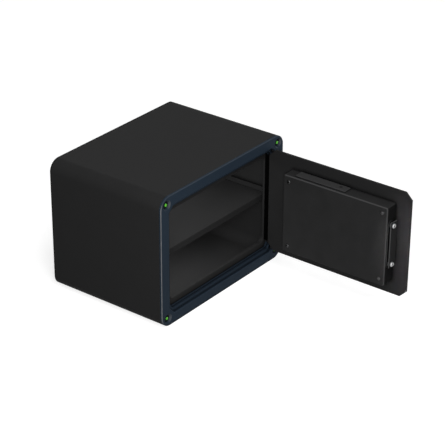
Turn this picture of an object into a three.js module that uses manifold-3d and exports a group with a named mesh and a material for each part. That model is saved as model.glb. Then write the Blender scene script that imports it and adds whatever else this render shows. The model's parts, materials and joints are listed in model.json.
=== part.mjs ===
import * as THREE from 'three';
import { mergeVertices } from 'three/addons/utils/BufferGeometryUtils.js';
import Module from 'manifold-3d';

// A portable car safe, in millimetres. X runs to the right as one faces the door, Y to the back,
// Z up. The origin lies under the middle of the body, on the surface that it stands on.
// The door is built closed in its own frame, whose origin is the hinge axis, and stands open.

// Body
const BODY_WIDTH = 350;
const BODY_HEIGHT = 250;
const BODY_DEPTH = 250;
const EDGE_RADIUS = 22;
const WALL = 2.5;
const BACK_THICK = 2.5;

// Clearances
const SEAT_GAP = 0.3;
const RUN_GAP = 0.4;

// How deep two joined solids reach into each other, and how far a cut reaches past its piece
const FUSE = 0.5;
const PAST = 1;

// Front frame
const FRAME_SIDE_BAND = 21.4;
const FRAME_END_BAND = 19.5;
const FRAME_RIM = 4;
const FRAME_EDGE_ROUND = 1.2;
const FRAME_INNER_CHAMFER = 0.8;
const OPENING_CLIP = 13.5;
const LEDGE_WIDTH = 5.5;
const LEDGE_DEPTH = 5;
const INNER_LEDGE_WIDTH = 3;
const CAP_INSET_X = 16;
const CAP_INSET_Z = 15;
const CAP_RECESS_RADIUS = 9.5;
const CAP_RECESS_FLOOR_RADIUS = 6.5;
const CAP_RECESS_DEPTH = 3.5;
const CAP_RADIUS = 3.1;
const CAP_WELL_DEPTH = 1.5;
const CAP_PROUD = 2;

// Welded collar behind the frame
const COLLAR_FACE_DEPTH = 13;
const COLLAR_SHEET = 1.6;
const COLLAR_BAND = 39;
const COLLAR_CORNER = 8;
const COLLAR_EDGE_CHAMFER = 1.2;
const COLLAR_LIP_DEPTH = 6;
const COLLAR_RIM_DEPTH = 8;
const COLLAR_STRIP_WIDTH = 2.5;
const COLLAR_STRIP_DEPTH = 3;

// Shelf and its two side rails
const SHELF_TOP = 121;
const SHELF_FROM_FRONT = 34;
const SHELF_SHEET = 1.5;
const SHELF_LIP = 12;
const SHELF_FLANGE = 10;
const SHELF_FOLD_CHAMFER = 0.8;
const SHELF_WALL_GAP = 4;
const RAIL_LEG = 8;
const RAIL_WIDTH = 12;
const RAIL_SHEET = 2;
const RAIL_END_GAP = 12;

// Anchor holes and their plugs
const ANCHOR_RADIUS = 5;
const ANCHOR_SPACING = 200;
const BASE_ANCHOR_FROM_BACK = 50;
const BACK_ANCHOR_HEIGHT = 190;
const PLUG_HEAD_RADIUS = 9;
const PLUG_HEAD_THICK = 1.8;
const PLUG_HEAD_TOP_RADIUS = 7.8;

// Door plate and hinge
const DOOR_GAP = 3.1;
const DOOR_THICK = 4;
const DOOR_RECESS = 0.4;
const DOOR_CORNER_CLIP = 13;
const HINGE_INSET = 5.1;
const HINGE_PIN_RADIUS = 1.1;
const HINGE_PIN_IN_DOOR = 22;
const HINGE_PIN_IN_FRAME = 12;
const HINGE_RELIEF_MARGIN = 5.5;
const DOOR_OPEN_ANGLE = 90;

// Lock cover on the inside of the door
const COVER_LENGTH = 220;
const COVER_HEIGHT = 154;
const COVER_DEPTH = 26.7;
const COVER_WALL = 2.2;
const COVER_FROM_FREE_EDGE = 29.8;
const COVER_EDGE_ROUND = 2.2;
const COVER_CORNER = 4;
const SCREW_INSET_X = 11.5;
const SCREW_INSET_Z = 12.5;
const SCREW_HEAD_RADIUS = 3.6;
const SCREW_HEAD_THICK = 1.8;
const SCREW_SINK = 1;
const SCREW_SHANK_RADIUS = 1.8;
const SCREW_IN_DOOR = 2.6;
const SCREW_BOSS_RADIUS = 5;
// Shares of the screw head's radius and thickness, from its rim to its crown
const SCREW_DOME = [[1, 0.35], [0.75, 0.8], [0.4, 1], [0, 1]];

// Battery compartment in the top of the cover
const CELL_RADIUS = 7.1;
const CELL_LENGTH = 49;
const CELL_NUB_RADIUS = 2.6;
const CELL_NUB_LENGTH = 1.2;
const TRAY_WALL = 1.2;
const LID_MARGIN = 1.2;
const LID_SIDE_MARGIN = 2.5;
const LID_THICK = 1.6;
const LID_TRAVEL = 7;
const LID_FROM_COVER_END = 21.7;
const LID_CORNER = 1.5;
const LID_EDGE = 0.5;
const LID_TONGUE = 1.8;
const LID_TONGUE_LIFT = 0.1;
const LID_DIMPLE_RADIUS = 4;
const LID_DIMPLE_DEPTH = 0.7;
const LID_DIMPLE_FROM_END = 16.5;
const LID_DIMPLE_OFFSET = 2.5;

// Bolt work
const BOLT_RADIUS = 4.5;
const BOLT_SPREAD = 75.5;
const BOLT_RISE = 3.75;
const BOLT_FROM_DOOR = 16.5;
const BOLT_PROUD = 9.4;
const BOLT_TRAVEL = 18;
const BOLT_LENGTH = 33;
const BOLT_TIP_CHAMFER = 1.2;
const BOLT_NECK_RADIUS = 3;
const BAR_THICK = 8;
const BAR_END_MARGIN = 9;
const BAR_BACK_MARGIN = 8;
const GUIDE_PROUD = 6;
const GUIDE_SIDE_WALL = 3.5;
const GUIDE_SPIGOT_WALL = 1;
const GUIDE_FLANGE_THICK = 1;
const GUIDE_PLATE_THICK = 2;
const GUIDE_PLATE_WIDTH = 18.9;
const GUIDE_PLATE_FROM_DOOR = 4.1;
const GUIDE_PLATE_END_MARGIN = 6;
const GUIDE_RIB_THICK = 4;
const GUIDE_RIB_END_GAP = 2.5;
const GUIDE_INSIDE = 1.6;

// Knob, spindle and crank
const SPINDLE_FROM_COVER_END = 62.5;
const SPINDLE_RADIUS = 4;
const CRANK_TURN = 90;
const CRANK_PIN_RADIUS = 2.5;
const CRANK_DISC_THICK = 4;
const CRANK_DISC_MARGIN = 3;
const CRANK_FROM_DOOR = 4.6;
const CRANK_SLOT_GAP = 0.65;
const ARM_THICK = 3;
const ARM_WEB = 4;
const ARM_GAP = 1.2;
const KNOB_RADIUS = 19;
const KNOB_BASE_THICK = 7;
const KNOB_GRIP_HEIGHT = 15;
const KNOB_GRIP_WIDTH = 11;
const KNOB_GRIP_INSET = 3;
const KNOB_EDGE_ROUND = 1.5;
const KNOB_GRIP_ROUND = 2;
const KNOB_GRIP_FLAT = 1;
const KNOB_FLUTES = 10;
const KNOB_FLUTE_RADIUS = 2.2;
const KNOB_FLUTE_PROUD = 0.8;

// Solenoid beside the crank
const COIL_RADIUS = 6;
const COIL_LENGTH = 18;
const SOLENOID_SHEET = 1.5;
const SOLENOID_MARGIN = 1.2;
const PLUNGER_RADIUS = 3;
const PLUNGER_BARE = 6;
const PLUNGER_TRAVEL = 4;

// Keypad on the outside of the door
const KEY_COLUMNS = 3;
const KEY_ROWS = 4;
const KEY_PITCH_X = 16;
const KEY_PITCH_Z = 14;
const KEY_WIDTH = 11.5;
const KEY_HEIGHT = 9;
const KEY_ROUND = 1.6;
const KEY_EDGE_ROUND = 0.6;
const KEY_PROUD = 1.6;
const KEY_TRAVEL = 1.2;
const PANEL_THICK = 5;
const PANEL_MARGIN = 8;
const PANEL_HEAD = 13;
const PANEL_CORNER = 6;
const PANEL_EDGE_ROUND = 1.2;
const PANEL_FROM_HINGE = 82;
const LAMP_RADIUS = 1.8;
const LAMP_PROUD = 1;
const LAMP_SHOULDER = 0.7;
const CABLE_HOLE_RADIUS = 7;

// Override lock under the knob
const OVERRIDE_DROP = 48;
const BARREL_RADIUS = 9;
const BARREL_FLANGE_RADIUS = 11.5;
const BARREL_FLANGE_THICK = 2;
const BARREL_FLANGE_TAPER = 0.8;
const BARREL_IN_COVER = 15;
const BARREL_END_WALL = 2;
const PLUG_RADIUS = 6;
const PLUG_PROUD = 0.5;
const KEYWAY_WIDTH = 2;
const KEYWAY_HEIGHT = 8;
const KEYWAY_DEPTH = 10;

// Circuit board inside the cover
const BOARD_WIDTH = 84;
const BOARD_HEIGHT = 88;
const BOARD_THICK = 1.6;
const BOARD_FROM_COVER_END = 12;
const BOARD_LIFT = 5;
const BOARD_POST_RADIUS = 2.6;
const BOARD_POST_INSET = 6;
const BOARD_NOTCH_GAP = 2;
const BUZZER_RADIUS = 6;
const BUZZER_HEIGHT = 7;
const CONNECTOR_WIDTH = 16;
const CONNECTOR_DEPTH = 6;
const CONNECTOR_HEIGHT = 8;
const CONNECTOR_WALL = 1;
const CONNECTOR_FLOOR = 2;

const wasm = await Module();
wasm.setup();

// Shapes and solids

function toSolid(geometry) {
  const plain = geometry.index ? geometry.toNonIndexed() : geometry.clone();
  plain.deleteAttribute('normal');
  plain.deleteAttribute('uv');
  const merged = mergeVertices(plain, 1e-4);
  return new wasm.Manifold(new wasm.Mesh({
    numProp: 3,
    vertProperties: new Float32Array(merged.attributes.position.array),
    triVerts: new Uint32Array(merged.index.array),
  }));
}

function toGeometry(solid) {
  const mesh = solid.getMesh();
  const geometry = new THREE.BufferGeometry();
  geometry.setAttribute('position', new THREE.BufferAttribute(mesh.vertProperties, 3));
  geometry.setIndex(new THREE.BufferAttribute(mesh.triVerts, 1));
  geometry.computeVertexNormals();
  return geometry;
}

function joined(...solids) {
  return solids.reduce((whole, next) => whole.add(next));
}

function cut(solid, ...tools) {
  return tools.reduce((left, tool) => left.subtract(tool), solid);
}

function roundedOutline(width, height, radius) {
  const x = width / 2;
  const y = height / 2;
  const shape = new THREE.Shape();
  shape.moveTo(-x + radius, -y);
  shape.lineTo(x - radius, -y);
  shape.absarc(x - radius, -y + radius, radius, -Math.PI / 2, 0);
  shape.lineTo(x, y - radius);
  shape.absarc(x - radius, y - radius, radius, 0, Math.PI / 2);
  shape.lineTo(-x + radius, y);
  shape.absarc(-x + radius, y - radius, radius, Math.PI / 2, Math.PI);
  shape.lineTo(-x, -y + radius);
  shape.absarc(-x + radius, -y + radius, radius, Math.PI, 1.5 * Math.PI);
  return shape;
}

function clippedOutline(width, height, clip) {
  const x = width / 2;
  const y = height / 2;
  const shape = new THREE.Shape();
  shape.moveTo(-x + clip, -y);
  shape.lineTo(x - clip, -y);
  shape.lineTo(x, -y + clip);
  shape.lineTo(x, y - clip);
  shape.lineTo(x - clip, y);
  shape.lineTo(-x + clip, y);
  shape.lineTo(-x, y - clip);
  shape.lineTo(-x, -y + clip);
  return shape;
}

// How long a 45 degree corner clip gets when its outline moves outwards
function grownClip(clip, growth) {
  return clip + growth * (2 - Math.SQRT2);
}

// An outline drawn in X and Z, as a slab from y0 to y1
function slab(outline, y0, y1, options = {}) {
  const geometry = new THREE.ExtrudeGeometry(outline, {
    depth: y1 - y0, bevelEnabled: false, curveSegments: 8, ...options,
  });
  geometry.rotateX(Math.PI / 2);
  geometry.translate(0, y1, 0);
  return geometry;
}

// A slab whose face at y0 has a rounded rim, and whose other face is square
function roundedSlab(outline, y0, y1, round, steps = 3, curveSegments = 8) {
  const whole = toSolid(slab(outline, y0 + round, y1, {
    bevelEnabled: true, bevelThickness: round, bevelSize: round, bevelOffset: -round,
    bevelSegments: steps, curveSegments,
  }));
  const keep = new THREE.Box3().setFromBufferAttribute(slab(outline, y0, y1).attributes.position);
  return whole.intersect(block(
    keep.min.x - PAST, keep.max.x + PAST, y0 - PAST, y1, keep.min.z - PAST, keep.max.z + PAST,
  ));
}

function block(x0, x1, y0, y1, z0, z1) {
  const geometry = new THREE.BoxGeometry(x1 - x0, y1 - y0, z1 - z0);
  geometry.translate((x0 + x1) / 2, (y0 + y1) / 2, (z0 + z1) / 2);
  return toSolid(geometry);
}

function movedSolid(geometry, x, y, z) {
  geometry.translate(x, y, z);
  return toSolid(geometry);
}

// Round bars along each axis. A second radius makes the far end wider or narrower.
function barX(radius, x0, x1, y, z, segments = 32) {
  const geometry = new THREE.CylinderGeometry(radius, radius, x1 - x0, segments);
  geometry.rotateZ(-Math.PI / 2);
  return movedSolid(geometry, (x0 + x1) / 2, y, z);
}

function barY(radius, y0, y1, x, z, segments = 32, farRadius = radius) {
  const geometry = new THREE.CylinderGeometry(farRadius, radius, y1 - y0, segments);
  return movedSolid(geometry, x, (y0 + y1) / 2, z);
}

function barZ(radius, z0, z1, x, y, segments = 32, topRadius = radius) {
  const geometry = new THREE.CylinderGeometry(topRadius, radius, z1 - z0, segments);
  geometry.rotateX(Math.PI / 2);
  return movedSolid(geometry, x, y, (z0 + z1) / 2);
}

function piece(name, solid, look) {
  const mesh = new THREE.Mesh(toGeometry(solid), new THREE.MeshStandardMaterial(look));
  mesh.name = name;
  return mesh;
}

// Finishes
const BLACK_COAT = { color: 0x26272a, roughness: 0.55, metalness: 0.3 };
const NAVY_MOULDING = { color: 0x1d2c3c, roughness: 0.4, metalness: 0.0 };
const GREEN_CAP = { color: 0x55be14, roughness: 0.35, metalness: 0.0 };
const BLACK_MOULDING = { color: 0x202124, roughness: 0.5, metalness: 0.0 };
const LID_MOULDING = { color: 0x34353a, roughness: 0.45, metalness: 0.0 };
const BRIGHT_STEEL = { color: 0xc8cacc, roughness: 0.2, metalness: 1.0 };
const ZINC_STEEL = { color: 0x9a9da0, roughness: 0.4, metalness: 0.9 };
const RUBBER = { color: 0x141516, roughness: 0.8, metalness: 0.0 };
const GREEN_BOARD = { color: 0x1c5a32, roughness: 0.5, metalness: 0.0 };
const CELL_WRAP = { color: 0x3a3f48, roughness: 0.35, metalness: 0.4 };
const BRASS = { color: 0xb5935a, roughness: 0.35, metalness: 1.0 };
const LAMP_LENS = { color: 0xa8c8a0, roughness: 0.2, metalness: 0.0 };
const KEY_MOULDING = { color: 0x3a3b40, roughness: 0.45, metalness: 0.0 };

// Places shared by several pieces
const FRONT = -BODY_DEPTH / 2;
const BACK = BODY_DEPTH / 2;
const MID_HEIGHT = BODY_HEIGHT / 2;
const INNER_WIDTH = BODY_WIDTH - 2 * WALL;
const INNER_HEIGHT = BODY_HEIGHT - 2 * WALL;
const INNER_RADIUS = EDGE_RADIUS - WALL;
const SHELL_FRONT = FRONT + FRAME_RIM + SEAT_GAP;
const SHELL_BACK = BACK - BACK_THICK - SEAT_GAP;
const OPENING_WIDTH = BODY_WIDTH - 2 * FRAME_SIDE_BAND;
const OPENING_HEIGHT = BODY_HEIGHT - 2 * FRAME_END_BAND;
const LEDGE_FACE = FRONT + DOOR_RECESS + DOOR_THICK + SEAT_GAP;
const COLLAR_FACE = FRONT + COLLAR_FACE_DEPTH;
const COLLAR_WIDTH = BODY_WIDTH - 2 * COLLAR_BAND;
const COLLAR_HEIGHT = BODY_HEIGHT - 2 * COLLAR_BAND;

const DOOR_WIDTH = OPENING_WIDTH - 2 * DOOR_GAP;
const DOOR_HEIGHT = OPENING_HEIGHT - 2 * DOOR_GAP;
const HINGE_X = DOOR_WIDTH / 2 - HINGE_INSET;
const HINGE_Y = FRONT + DOOR_RECESS + DOOR_THICK / 2;
const DOOR_FREE_EDGE = HINGE_INSET - DOOR_WIDTH;
const DOOR_MIDDLE = HINGE_INSET - DOOR_WIDTH / 2;
const DOOR_OUT = -DOOR_THICK / 2;
const DOOR_IN = DOOR_THICK / 2;
const HINGE_EDGE_HEIGHT = DOOR_HEIGHT / 2 - DOOR_CORNER_CLIP;
const HINGE_PIN_LOW = HINGE_EDGE_HEIGHT + HINGE_INSET - HINGE_PIN_IN_DOOR;
const HINGE_PIN_HIGH = OPENING_HEIGHT / 2 - OPENING_CLIP + OPENING_WIDTH / 2 - HINGE_X + HINGE_PIN_IN_FRAME;

const COVER_FREE_END = DOOR_FREE_EDGE + COVER_FROM_FREE_EDGE;
const COVER_HINGE_END = COVER_FREE_END + COVER_LENGTH;
const COVER_MIDDLE = (COVER_FREE_END + COVER_HINGE_END) / 2;
const COVER_FRONT = DOOR_IN + SEAT_GAP + COVER_DEPTH;
const COVER_TOP = MID_HEIGHT + COVER_HEIGHT / 2;
const BOLT_Y = DOOR_IN + BOLT_FROM_DOOR;
const BOLT_TIP = COVER_FREE_END - BOLT_PROUD;
const BOLT_SHOULDER = BOLT_TIP + BOLT_LENGTH;
const BOLT_LEVELS = {
  bolt_lower: MID_HEIGHT + BOLT_RISE - BOLT_SPREAD / 2,
  bolt_upper: MID_HEIGHT + BOLT_RISE + BOLT_SPREAD / 2,
};

const SPINDLE_X = COVER_FREE_END + SPINDLE_FROM_COVER_END;
const CRANK_ANGLE = THREE.MathUtils.degToRad(CRANK_TURN / 2);
const CRANK_RADIUS = BOLT_TRAVEL / (2 * Math.sin(CRANK_ANGLE));
const CRANK_NEAR = DOOR_IN + CRANK_FROM_DOOR;
const CRANK_FAR = CRANK_NEAR + CRANK_DISC_THICK;
const CRANK_DISC_RADIUS = CRANK_RADIUS + CRANK_PIN_RADIUS + CRANK_DISC_MARGIN;
const ARM_NEAR = CRANK_FAR + ARM_GAP;
const ARM_FAR = ARM_NEAR + ARM_THICK;

const TRAY_LENGTH = 2 * (CELL_LENGTH + CELL_NUB_LENGTH) + 3 * SEAT_GAP + 2 * TRAY_WALL;
const TRAY_DEPTH = 2 * (CELL_RADIUS + SEAT_GAP + TRAY_WALL);
const TRAY_HEIGHT = 4 * CELL_RADIUS + 3 * SEAT_GAP + TRAY_WALL;
const TRAY_TOP = COVER_TOP - COVER_WALL - SEAT_GAP;
const LID_LENGTH = TRAY_LENGTH + 2 * LID_MARGIN;
const LID_HINGE_END = COVER_HINGE_END - LID_FROM_COVER_END;
const TRAY_HINGE_END = LID_HINGE_END - LID_MARGIN;
const LID_MIDDLE_Y = DOOR_IN + SEAT_GAP + (COVER_DEPTH - COVER_WALL) / 2;

const PANEL_WIDTH = (KEY_COLUMNS - 1) * KEY_PITCH_X + KEY_WIDTH + 2 * PANEL_MARGIN;
const PANEL_HEIGHT = (KEY_ROWS - 1) * KEY_PITCH_Z + KEY_HEIGHT + 2 * PANEL_MARGIN + PANEL_HEAD;
const PANEL_X = -PANEL_FROM_HINGE - PANEL_WIDTH / 2;
const PANEL_FRONT = DOOR_OUT - SEAT_GAP - PANEL_THICK;
const KEYS_Z = MID_HEIGHT - PANEL_HEAD / 2;
const OVERRIDE_Z = MID_HEIGHT - OVERRIDE_DROP;

// Body shell: a rounded sheet tube, with two anchor holes in its base
function bodyShell() {
  const outer = roundedOutline(BODY_WIDTH, BODY_HEIGHT, EDGE_RADIUS);
  const inner = roundedOutline(INNER_WIDTH, INNER_HEIGHT, INNER_RADIUS);
  const tube = cut(
    toSolid(slab(outer, SHELL_FRONT, SHELL_BACK)),
    toSolid(slab(inner, SHELL_FRONT - PAST, SHELL_BACK + PAST)),
  ).translate([0, 0, MID_HEIGHT]);
  const holes = anchorPlaces().map((x) => barZ(
    ANCHOR_RADIUS, -PAST, WALL + PAST, x, BACK - BASE_ANCHOR_FROM_BACK, 16,
  ));
  return cut(tube, ...holes);
}

function anchorPlaces() {
  return [-ANCHOR_SPACING / 2, ANCHOR_SPACING / 2];
}

// Back panel, with two anchor holes
function backPanel() {
  const outline = roundedOutline(BODY_WIDTH, BODY_HEIGHT, EDGE_RADIUS);
  const plate = toSolid(slab(outline, BACK - BACK_THICK, BACK)).translate([0, 0, MID_HEIGHT]);
  const holes = anchorPlaces().map((x) => barY(
    ANCHOR_RADIUS, BACK - BACK_THICK - PAST, BACK + PAST, x, BACK_ANCHOR_HEIGHT, 16,
  ));
  return cut(plate, ...holes);
}

// A plug: its head lies inside the body and its stem fills the anchor hole. Built along +Z, head up.
function anchorPlug(sheet) {
  const stem = barZ(ANCHOR_RADIUS - SEAT_GAP, -sheet, FUSE, 0, 0, 12);
  const head = barZ(PLUG_HEAD_RADIUS, 0, PLUG_HEAD_THICK, 0, 0, 20, PLUG_HEAD_TOP_RADIUS);
  return joined(stem, head).translate([0, 0, SEAT_GAP]);
}

// Front frame: a moulding with a rounded rim, a sleeve inside the shell, stepped ledges for the door,
// clipped inner corners, round corner recesses and two bores for the hinge pins
function frontFrame() {
  const rimBack = FRONT + FRAME_RIM;
  const sleeveBack = COLLAR_FACE - SEAT_GAP;
  const rimOutline = roundedOutline(BODY_WIDTH, BODY_HEIGHT, EDGE_RADIUS);
  const rim = roundedSlab(rimOutline, FRONT, rimBack, FRAME_EDGE_ROUND);
  const sleeveOutline = roundedOutline(
    INNER_WIDTH - 2 * SEAT_GAP, INNER_HEIGHT - 2 * SEAT_GAP, INNER_RADIUS - SEAT_GAP,
  );
  const sleeve = toSolid(slab(sleeveOutline, rimBack - FUSE, sleeveBack));
  const pocket = (inset, y0, y1) => toSolid(slab(clippedOutline(
    OPENING_WIDTH - 2 * inset, OPENING_HEIGHT - 2 * inset, grownClip(OPENING_CLIP, -inset),
  ), y0, y1));
  const ledge = LEDGE_WIDTH;
  const innerLedge = LEDGE_WIDTH + INNER_LEDGE_WIDTH;
  const chamfer = toSolid(slab(
    clippedOutline(OPENING_WIDTH, OPENING_HEIGHT, OPENING_CLIP), FRONT - PAST, FRONT,
    {
      bevelEnabled: true, bevelThickness: FRAME_INNER_CHAMFER, bevelSize: FRAME_INNER_CHAMFER,
      bevelSegments: 1,
    },
  ));
  // The door's hinge edge swings behind the face of the ledges, so the right side has none
  const hingeReach = HINGE_EDGE_HEIGHT + HINGE_RELIEF_MARGIN;
  const hingeRelief = block(
    OPENING_WIDTH / 2 - innerLedge - PAST, OPENING_WIDTH / 2, LEDGE_FACE - PAST, sleeveBack + PAST,
    -hingeReach, hingeReach,
  );
  const frame = cut(
    joined(rim, sleeve), pocket(0, FRONT - PAST, LEDGE_FACE),
    pocket(ledge, FRONT - PAST, LEDGE_FACE + LEDGE_DEPTH),
    pocket(innerLedge, FRONT - PAST, sleeveBack + PAST), hingeRelief, chamfer,
  ).translate([0, 0, MID_HEIGHT]);
  const recesses = capPlaces().flatMap(([x, z]) => [
    barY(CAP_RECESS_RADIUS, FRONT, FRONT + CAP_RECESS_DEPTH, x, z, 20, CAP_RECESS_FLOOR_RADIUS),
    barY(CAP_RADIUS + SEAT_GAP, FRONT, FRONT + CAP_RECESS_DEPTH + CAP_WELL_DEPTH, x, z, 12),
  ]);
  return cut(frame, ...recesses, ...hingePinSpans().map(([z0, z1]) => barZ(
    HINGE_PIN_RADIUS + SEAT_GAP, z0 - SEAT_GAP, z1 + SEAT_GAP, HINGE_X, HINGE_Y, 12,
  )));
}

function capPlaces() {
  const x = BODY_WIDTH / 2 - CAP_INSET_X;
  const z = BODY_HEIGHT / 2 - CAP_INSET_Z;
  return [[-x, MID_HEIGHT + z], [x, MID_HEIGHT + z], [-x, MID_HEIGHT - z], [x, MID_HEIGHT - z]];
}

// A domed cap in the well of its recess
function cornerCap() {
  const seat = FRONT + CAP_RECESS_DEPTH + CAP_WELL_DEPTH - SEAT_GAP;
  const face = FRONT + CAP_RECESS_DEPTH - CAP_PROUD;
  const profile = [new THREE.Vector2(0, seat), new THREE.Vector2(CAP_RADIUS, seat)];
  const steps = 4;
  for (let i = 0; i <= steps; i += 1) {
    const angle = (i / steps) * Math.PI / 2;
    profile.push(new THREE.Vector2(
      CAP_RADIUS * Math.cos(angle), face + CAP_PROUD / 2 - CAP_PROUD / 2 * Math.sin(angle),
    ));
  }
  profile[profile.length - 1].x = 0;
  return toSolid(new THREE.LatheGeometry(profile.reverse(), 12));
}

// Each hinge pin's lowest and highest point
function hingePinSpans() {
  return [
    [MID_HEIGHT - HINGE_PIN_HIGH, MID_HEIGHT - HINGE_PIN_LOW],
    [MID_HEIGHT + HINGE_PIN_LOW, MID_HEIGHT + HINGE_PIN_HIGH],
  ];
}

// Collar: the folded sheet ring that the frame stands on. It has a rim along the shell and a lip round
// the opening. The lip is cut away where the bolts slide behind the ring. Beside the hinge only a narrow
// strip is left, and a slot gives room to the door's hinge edge.
function doorCollar() {
  const back = COLLAR_FACE + COLLAR_SHEET;
  const ring = (width, height, radius, y0, y1) => toSolid(
    slab(roundedOutline(width, height, radius), y0, y1, { curveSegments: 5 }),
  );
  const outerWidth = INNER_WIDTH - 2 * SEAT_GAP;
  const outerHeight = INNER_HEIGHT - 2 * SEAT_GAP;
  const outerRadius = INNER_RADIUS - SEAT_GAP;
  const lipWidth = COLLAR_WIDTH + 2 * COLLAR_SHEET;
  const lipHeight = COLLAR_HEIGHT + 2 * COLLAR_SHEET;
  const face = ring(outerWidth, outerHeight, outerRadius, COLLAR_FACE, back);
  const rim = cut(
    ring(outerWidth, outerHeight, outerRadius, back - FUSE, back + COLLAR_RIM_DEPTH),
    ring(outerWidth - 2 * COLLAR_SHEET, outerHeight - 2 * COLLAR_SHEET, outerRadius - COLLAR_SHEET,
      back - PAST, back + COLLAR_RIM_DEPTH + PAST),
  );
  const lipBack = back + COLLAR_LIP_DEPTH;
  const lip = ring(lipWidth, lipHeight, COLLAR_CORNER + COLLAR_SHEET, back - FUSE, lipBack);
  const opening = ring(COLLAR_WIDTH, COLLAR_HEIGHT, COLLAR_CORNER, COLLAR_FACE - PAST, lipBack + PAST);
  const chamfer = toSolid(slab(
    roundedOutline(COLLAR_WIDTH, COLLAR_HEIGHT, COLLAR_CORNER), COLLAR_FACE - PAST, COLLAR_FACE,
    {
      bevelEnabled: true, bevelThickness: COLLAR_EDGE_CHAMFER, bevelSize: COLLAR_EDGE_CHAMFER,
      bevelSegments: 1, curveSegments: 5,
    },
  ));
  const collar = cut(joined(face, rim, lip), opening, chamfer).translate([0, 0, MID_HEIGHT]);
  const lipStart = COLLAR_HEIGHT / 2 - COLLAR_CORNER - COLLAR_SHEET;
  const boltWindow = block(
    -lipWidth / 2 - PAST, -COLLAR_WIDTH / 2 + PAST, back, lipBack + PAST,
    MID_HEIGHT - lipStart, MID_HEIGHT + lipStart,
  );
  const stripWindow = block(
    COLLAR_WIDTH / 2 - PAST, lipWidth / 2 + PAST, COLLAR_FACE + COLLAR_STRIP_DEPTH, lipBack + PAST,
    MID_HEIGHT - lipStart, MID_HEIGHT + lipStart,
  );
  const slotReach = HINGE_EDGE_HEIGHT + HINGE_RELIEF_MARGIN;
  const hingeSlot = block(
    COLLAR_WIDTH / 2 + COLLAR_STRIP_WIDTH, OPENING_WIDTH / 2, COLLAR_FACE - PAST, lipBack + PAST,
    MID_HEIGHT - slotReach, MID_HEIGHT + slotReach,
  );
  return cut(collar, boltWindow, stripWindow, hingeSlot);
}

// Shelf: one folded sheet with a front lip and upturned sides, resting on the side rails
function shelf() {
  const half = INNER_WIDTH / 2 - SHELF_WALL_GAP;
  const front = FRONT + SHELF_FROM_FRONT;
  const back = BACK - BACK_THICK - SEAT_GAP;
  const profile = new THREE.Shape();
  profile.moveTo(front, SHELF_TOP - SHELF_LIP);
  profile.lineTo(front + SHELF_SHEET, SHELF_TOP - SHELF_LIP);
  profile.lineTo(front + SHELF_SHEET, SHELF_TOP - SHELF_SHEET);
  profile.lineTo(back, SHELF_TOP - SHELF_SHEET);
  profile.lineTo(back, SHELF_TOP);
  profile.lineTo(front + SHELF_FOLD_CHAMFER, SHELF_TOP);
  profile.lineTo(front, SHELF_TOP - SHELF_FOLD_CHAMFER);
  const flangeZ = [SHELF_TOP - SHELF_SHEET, SHELF_TOP + SHELF_FLANGE];
  return joined(
    toSolid(alongX(profile, -half, half)),
    block(-half, -half + SHELF_SHEET, front + SHELF_SHEET, back, ...flangeZ),
    block(half - SHELF_SHEET, half, front + SHELF_SHEET, back, ...flangeZ),
  );
}

// An outline drawn in Y and Z, as a bar from x0 to x1
function alongX(outline, x0, x1) {
  const geometry = new THREE.ExtrudeGeometry(outline, { depth: x1 - x0, bevelEnabled: false });
  geometry.rotateX(Math.PI / 2);
  geometry.rotateZ(Math.PI / 2);
  geometry.translate(x0, 0, 0);
  return geometry;
}

// Side rail: a folded angle under each end of the shelf
function shelfRail(side) {
  const wall = INNER_WIDTH / 2 - SEAT_GAP;
  const top = SHELF_TOP - SHELF_SHEET - SEAT_GAP;
  const front = FRONT + SHELF_FROM_FRONT + SHELF_SHEET + RAIL_END_GAP;
  const back = BACK - BACK_THICK - RAIL_END_GAP;
  const upright = block(wall - RAIL_SHEET, wall, front, back, top - RAIL_LEG, top);
  const ledge = block(wall - RAIL_WIDTH, wall, front, back, top - RAIL_SHEET, top);
  const rail = joined(upright, ledge);
  return side < 0 ? rail.mirror([1, 0, 0]) : rail;
}

// Door plate with clipped corners, board posts, pin bores in its hinge edge and its holes
function doorPlate() {
  const outline = clippedOutline(DOOR_WIDTH, DOOR_HEIGHT, DOOR_CORNER_CLIP);
  const plate = toSolid(slab(outline, DOOR_OUT, DOOR_IN)).translate([DOOR_MIDDLE, 0, MID_HEIGHT]);
  const posts = boardPostPlaces().map(([x, z]) => barY(
    BOARD_POST_RADIUS, DOOR_IN - FUSE, DOOR_IN + BOARD_LIFT, x, z, 10,
  ));
  const pinBores = hingePinSpans().map(([z0, z1]) => barZ(
    HINGE_PIN_RADIUS + SEAT_GAP, z0 - SEAT_GAP, z1 + SEAT_GAP, 0, 0, 12,
  ));
  const screwHoles = screwPlaces().map(([x, z]) => barY(
    SCREW_SHANK_RADIUS + SEAT_GAP, DOOR_IN - SCREW_IN_DOOR - SEAT_GAP, DOOR_IN + PAST, x, z, 12,
  ));
  const through = [
    barY(SPINDLE_RADIUS + SEAT_GAP, DOOR_OUT - PAST, DOOR_IN + PAST, SPINDLE_X, MID_HEIGHT, 24),
    barY(BARREL_RADIUS + SEAT_GAP, DOOR_OUT - PAST, DOOR_IN + PAST, SPINDLE_X, OVERRIDE_Z, 28),
    barY(CABLE_HOLE_RADIUS, DOOR_OUT - PAST, DOOR_IN + PAST, PANEL_X, MID_HEIGHT, 16),
  ];
  return cut(joined(plate, ...posts), ...pinBores, ...screwHoles, ...through);
}

function screwPlaces() {
  const x = COVER_LENGTH / 2 - SCREW_INSET_X;
  const z = COVER_HEIGHT / 2 - SCREW_INSET_Z;
  return [[-x, z], [x, z], [-x, -z], [x, -z]].map(([dx, dz]) => [COVER_MIDDLE + dx, MID_HEIGHT + dz]);
}

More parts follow.
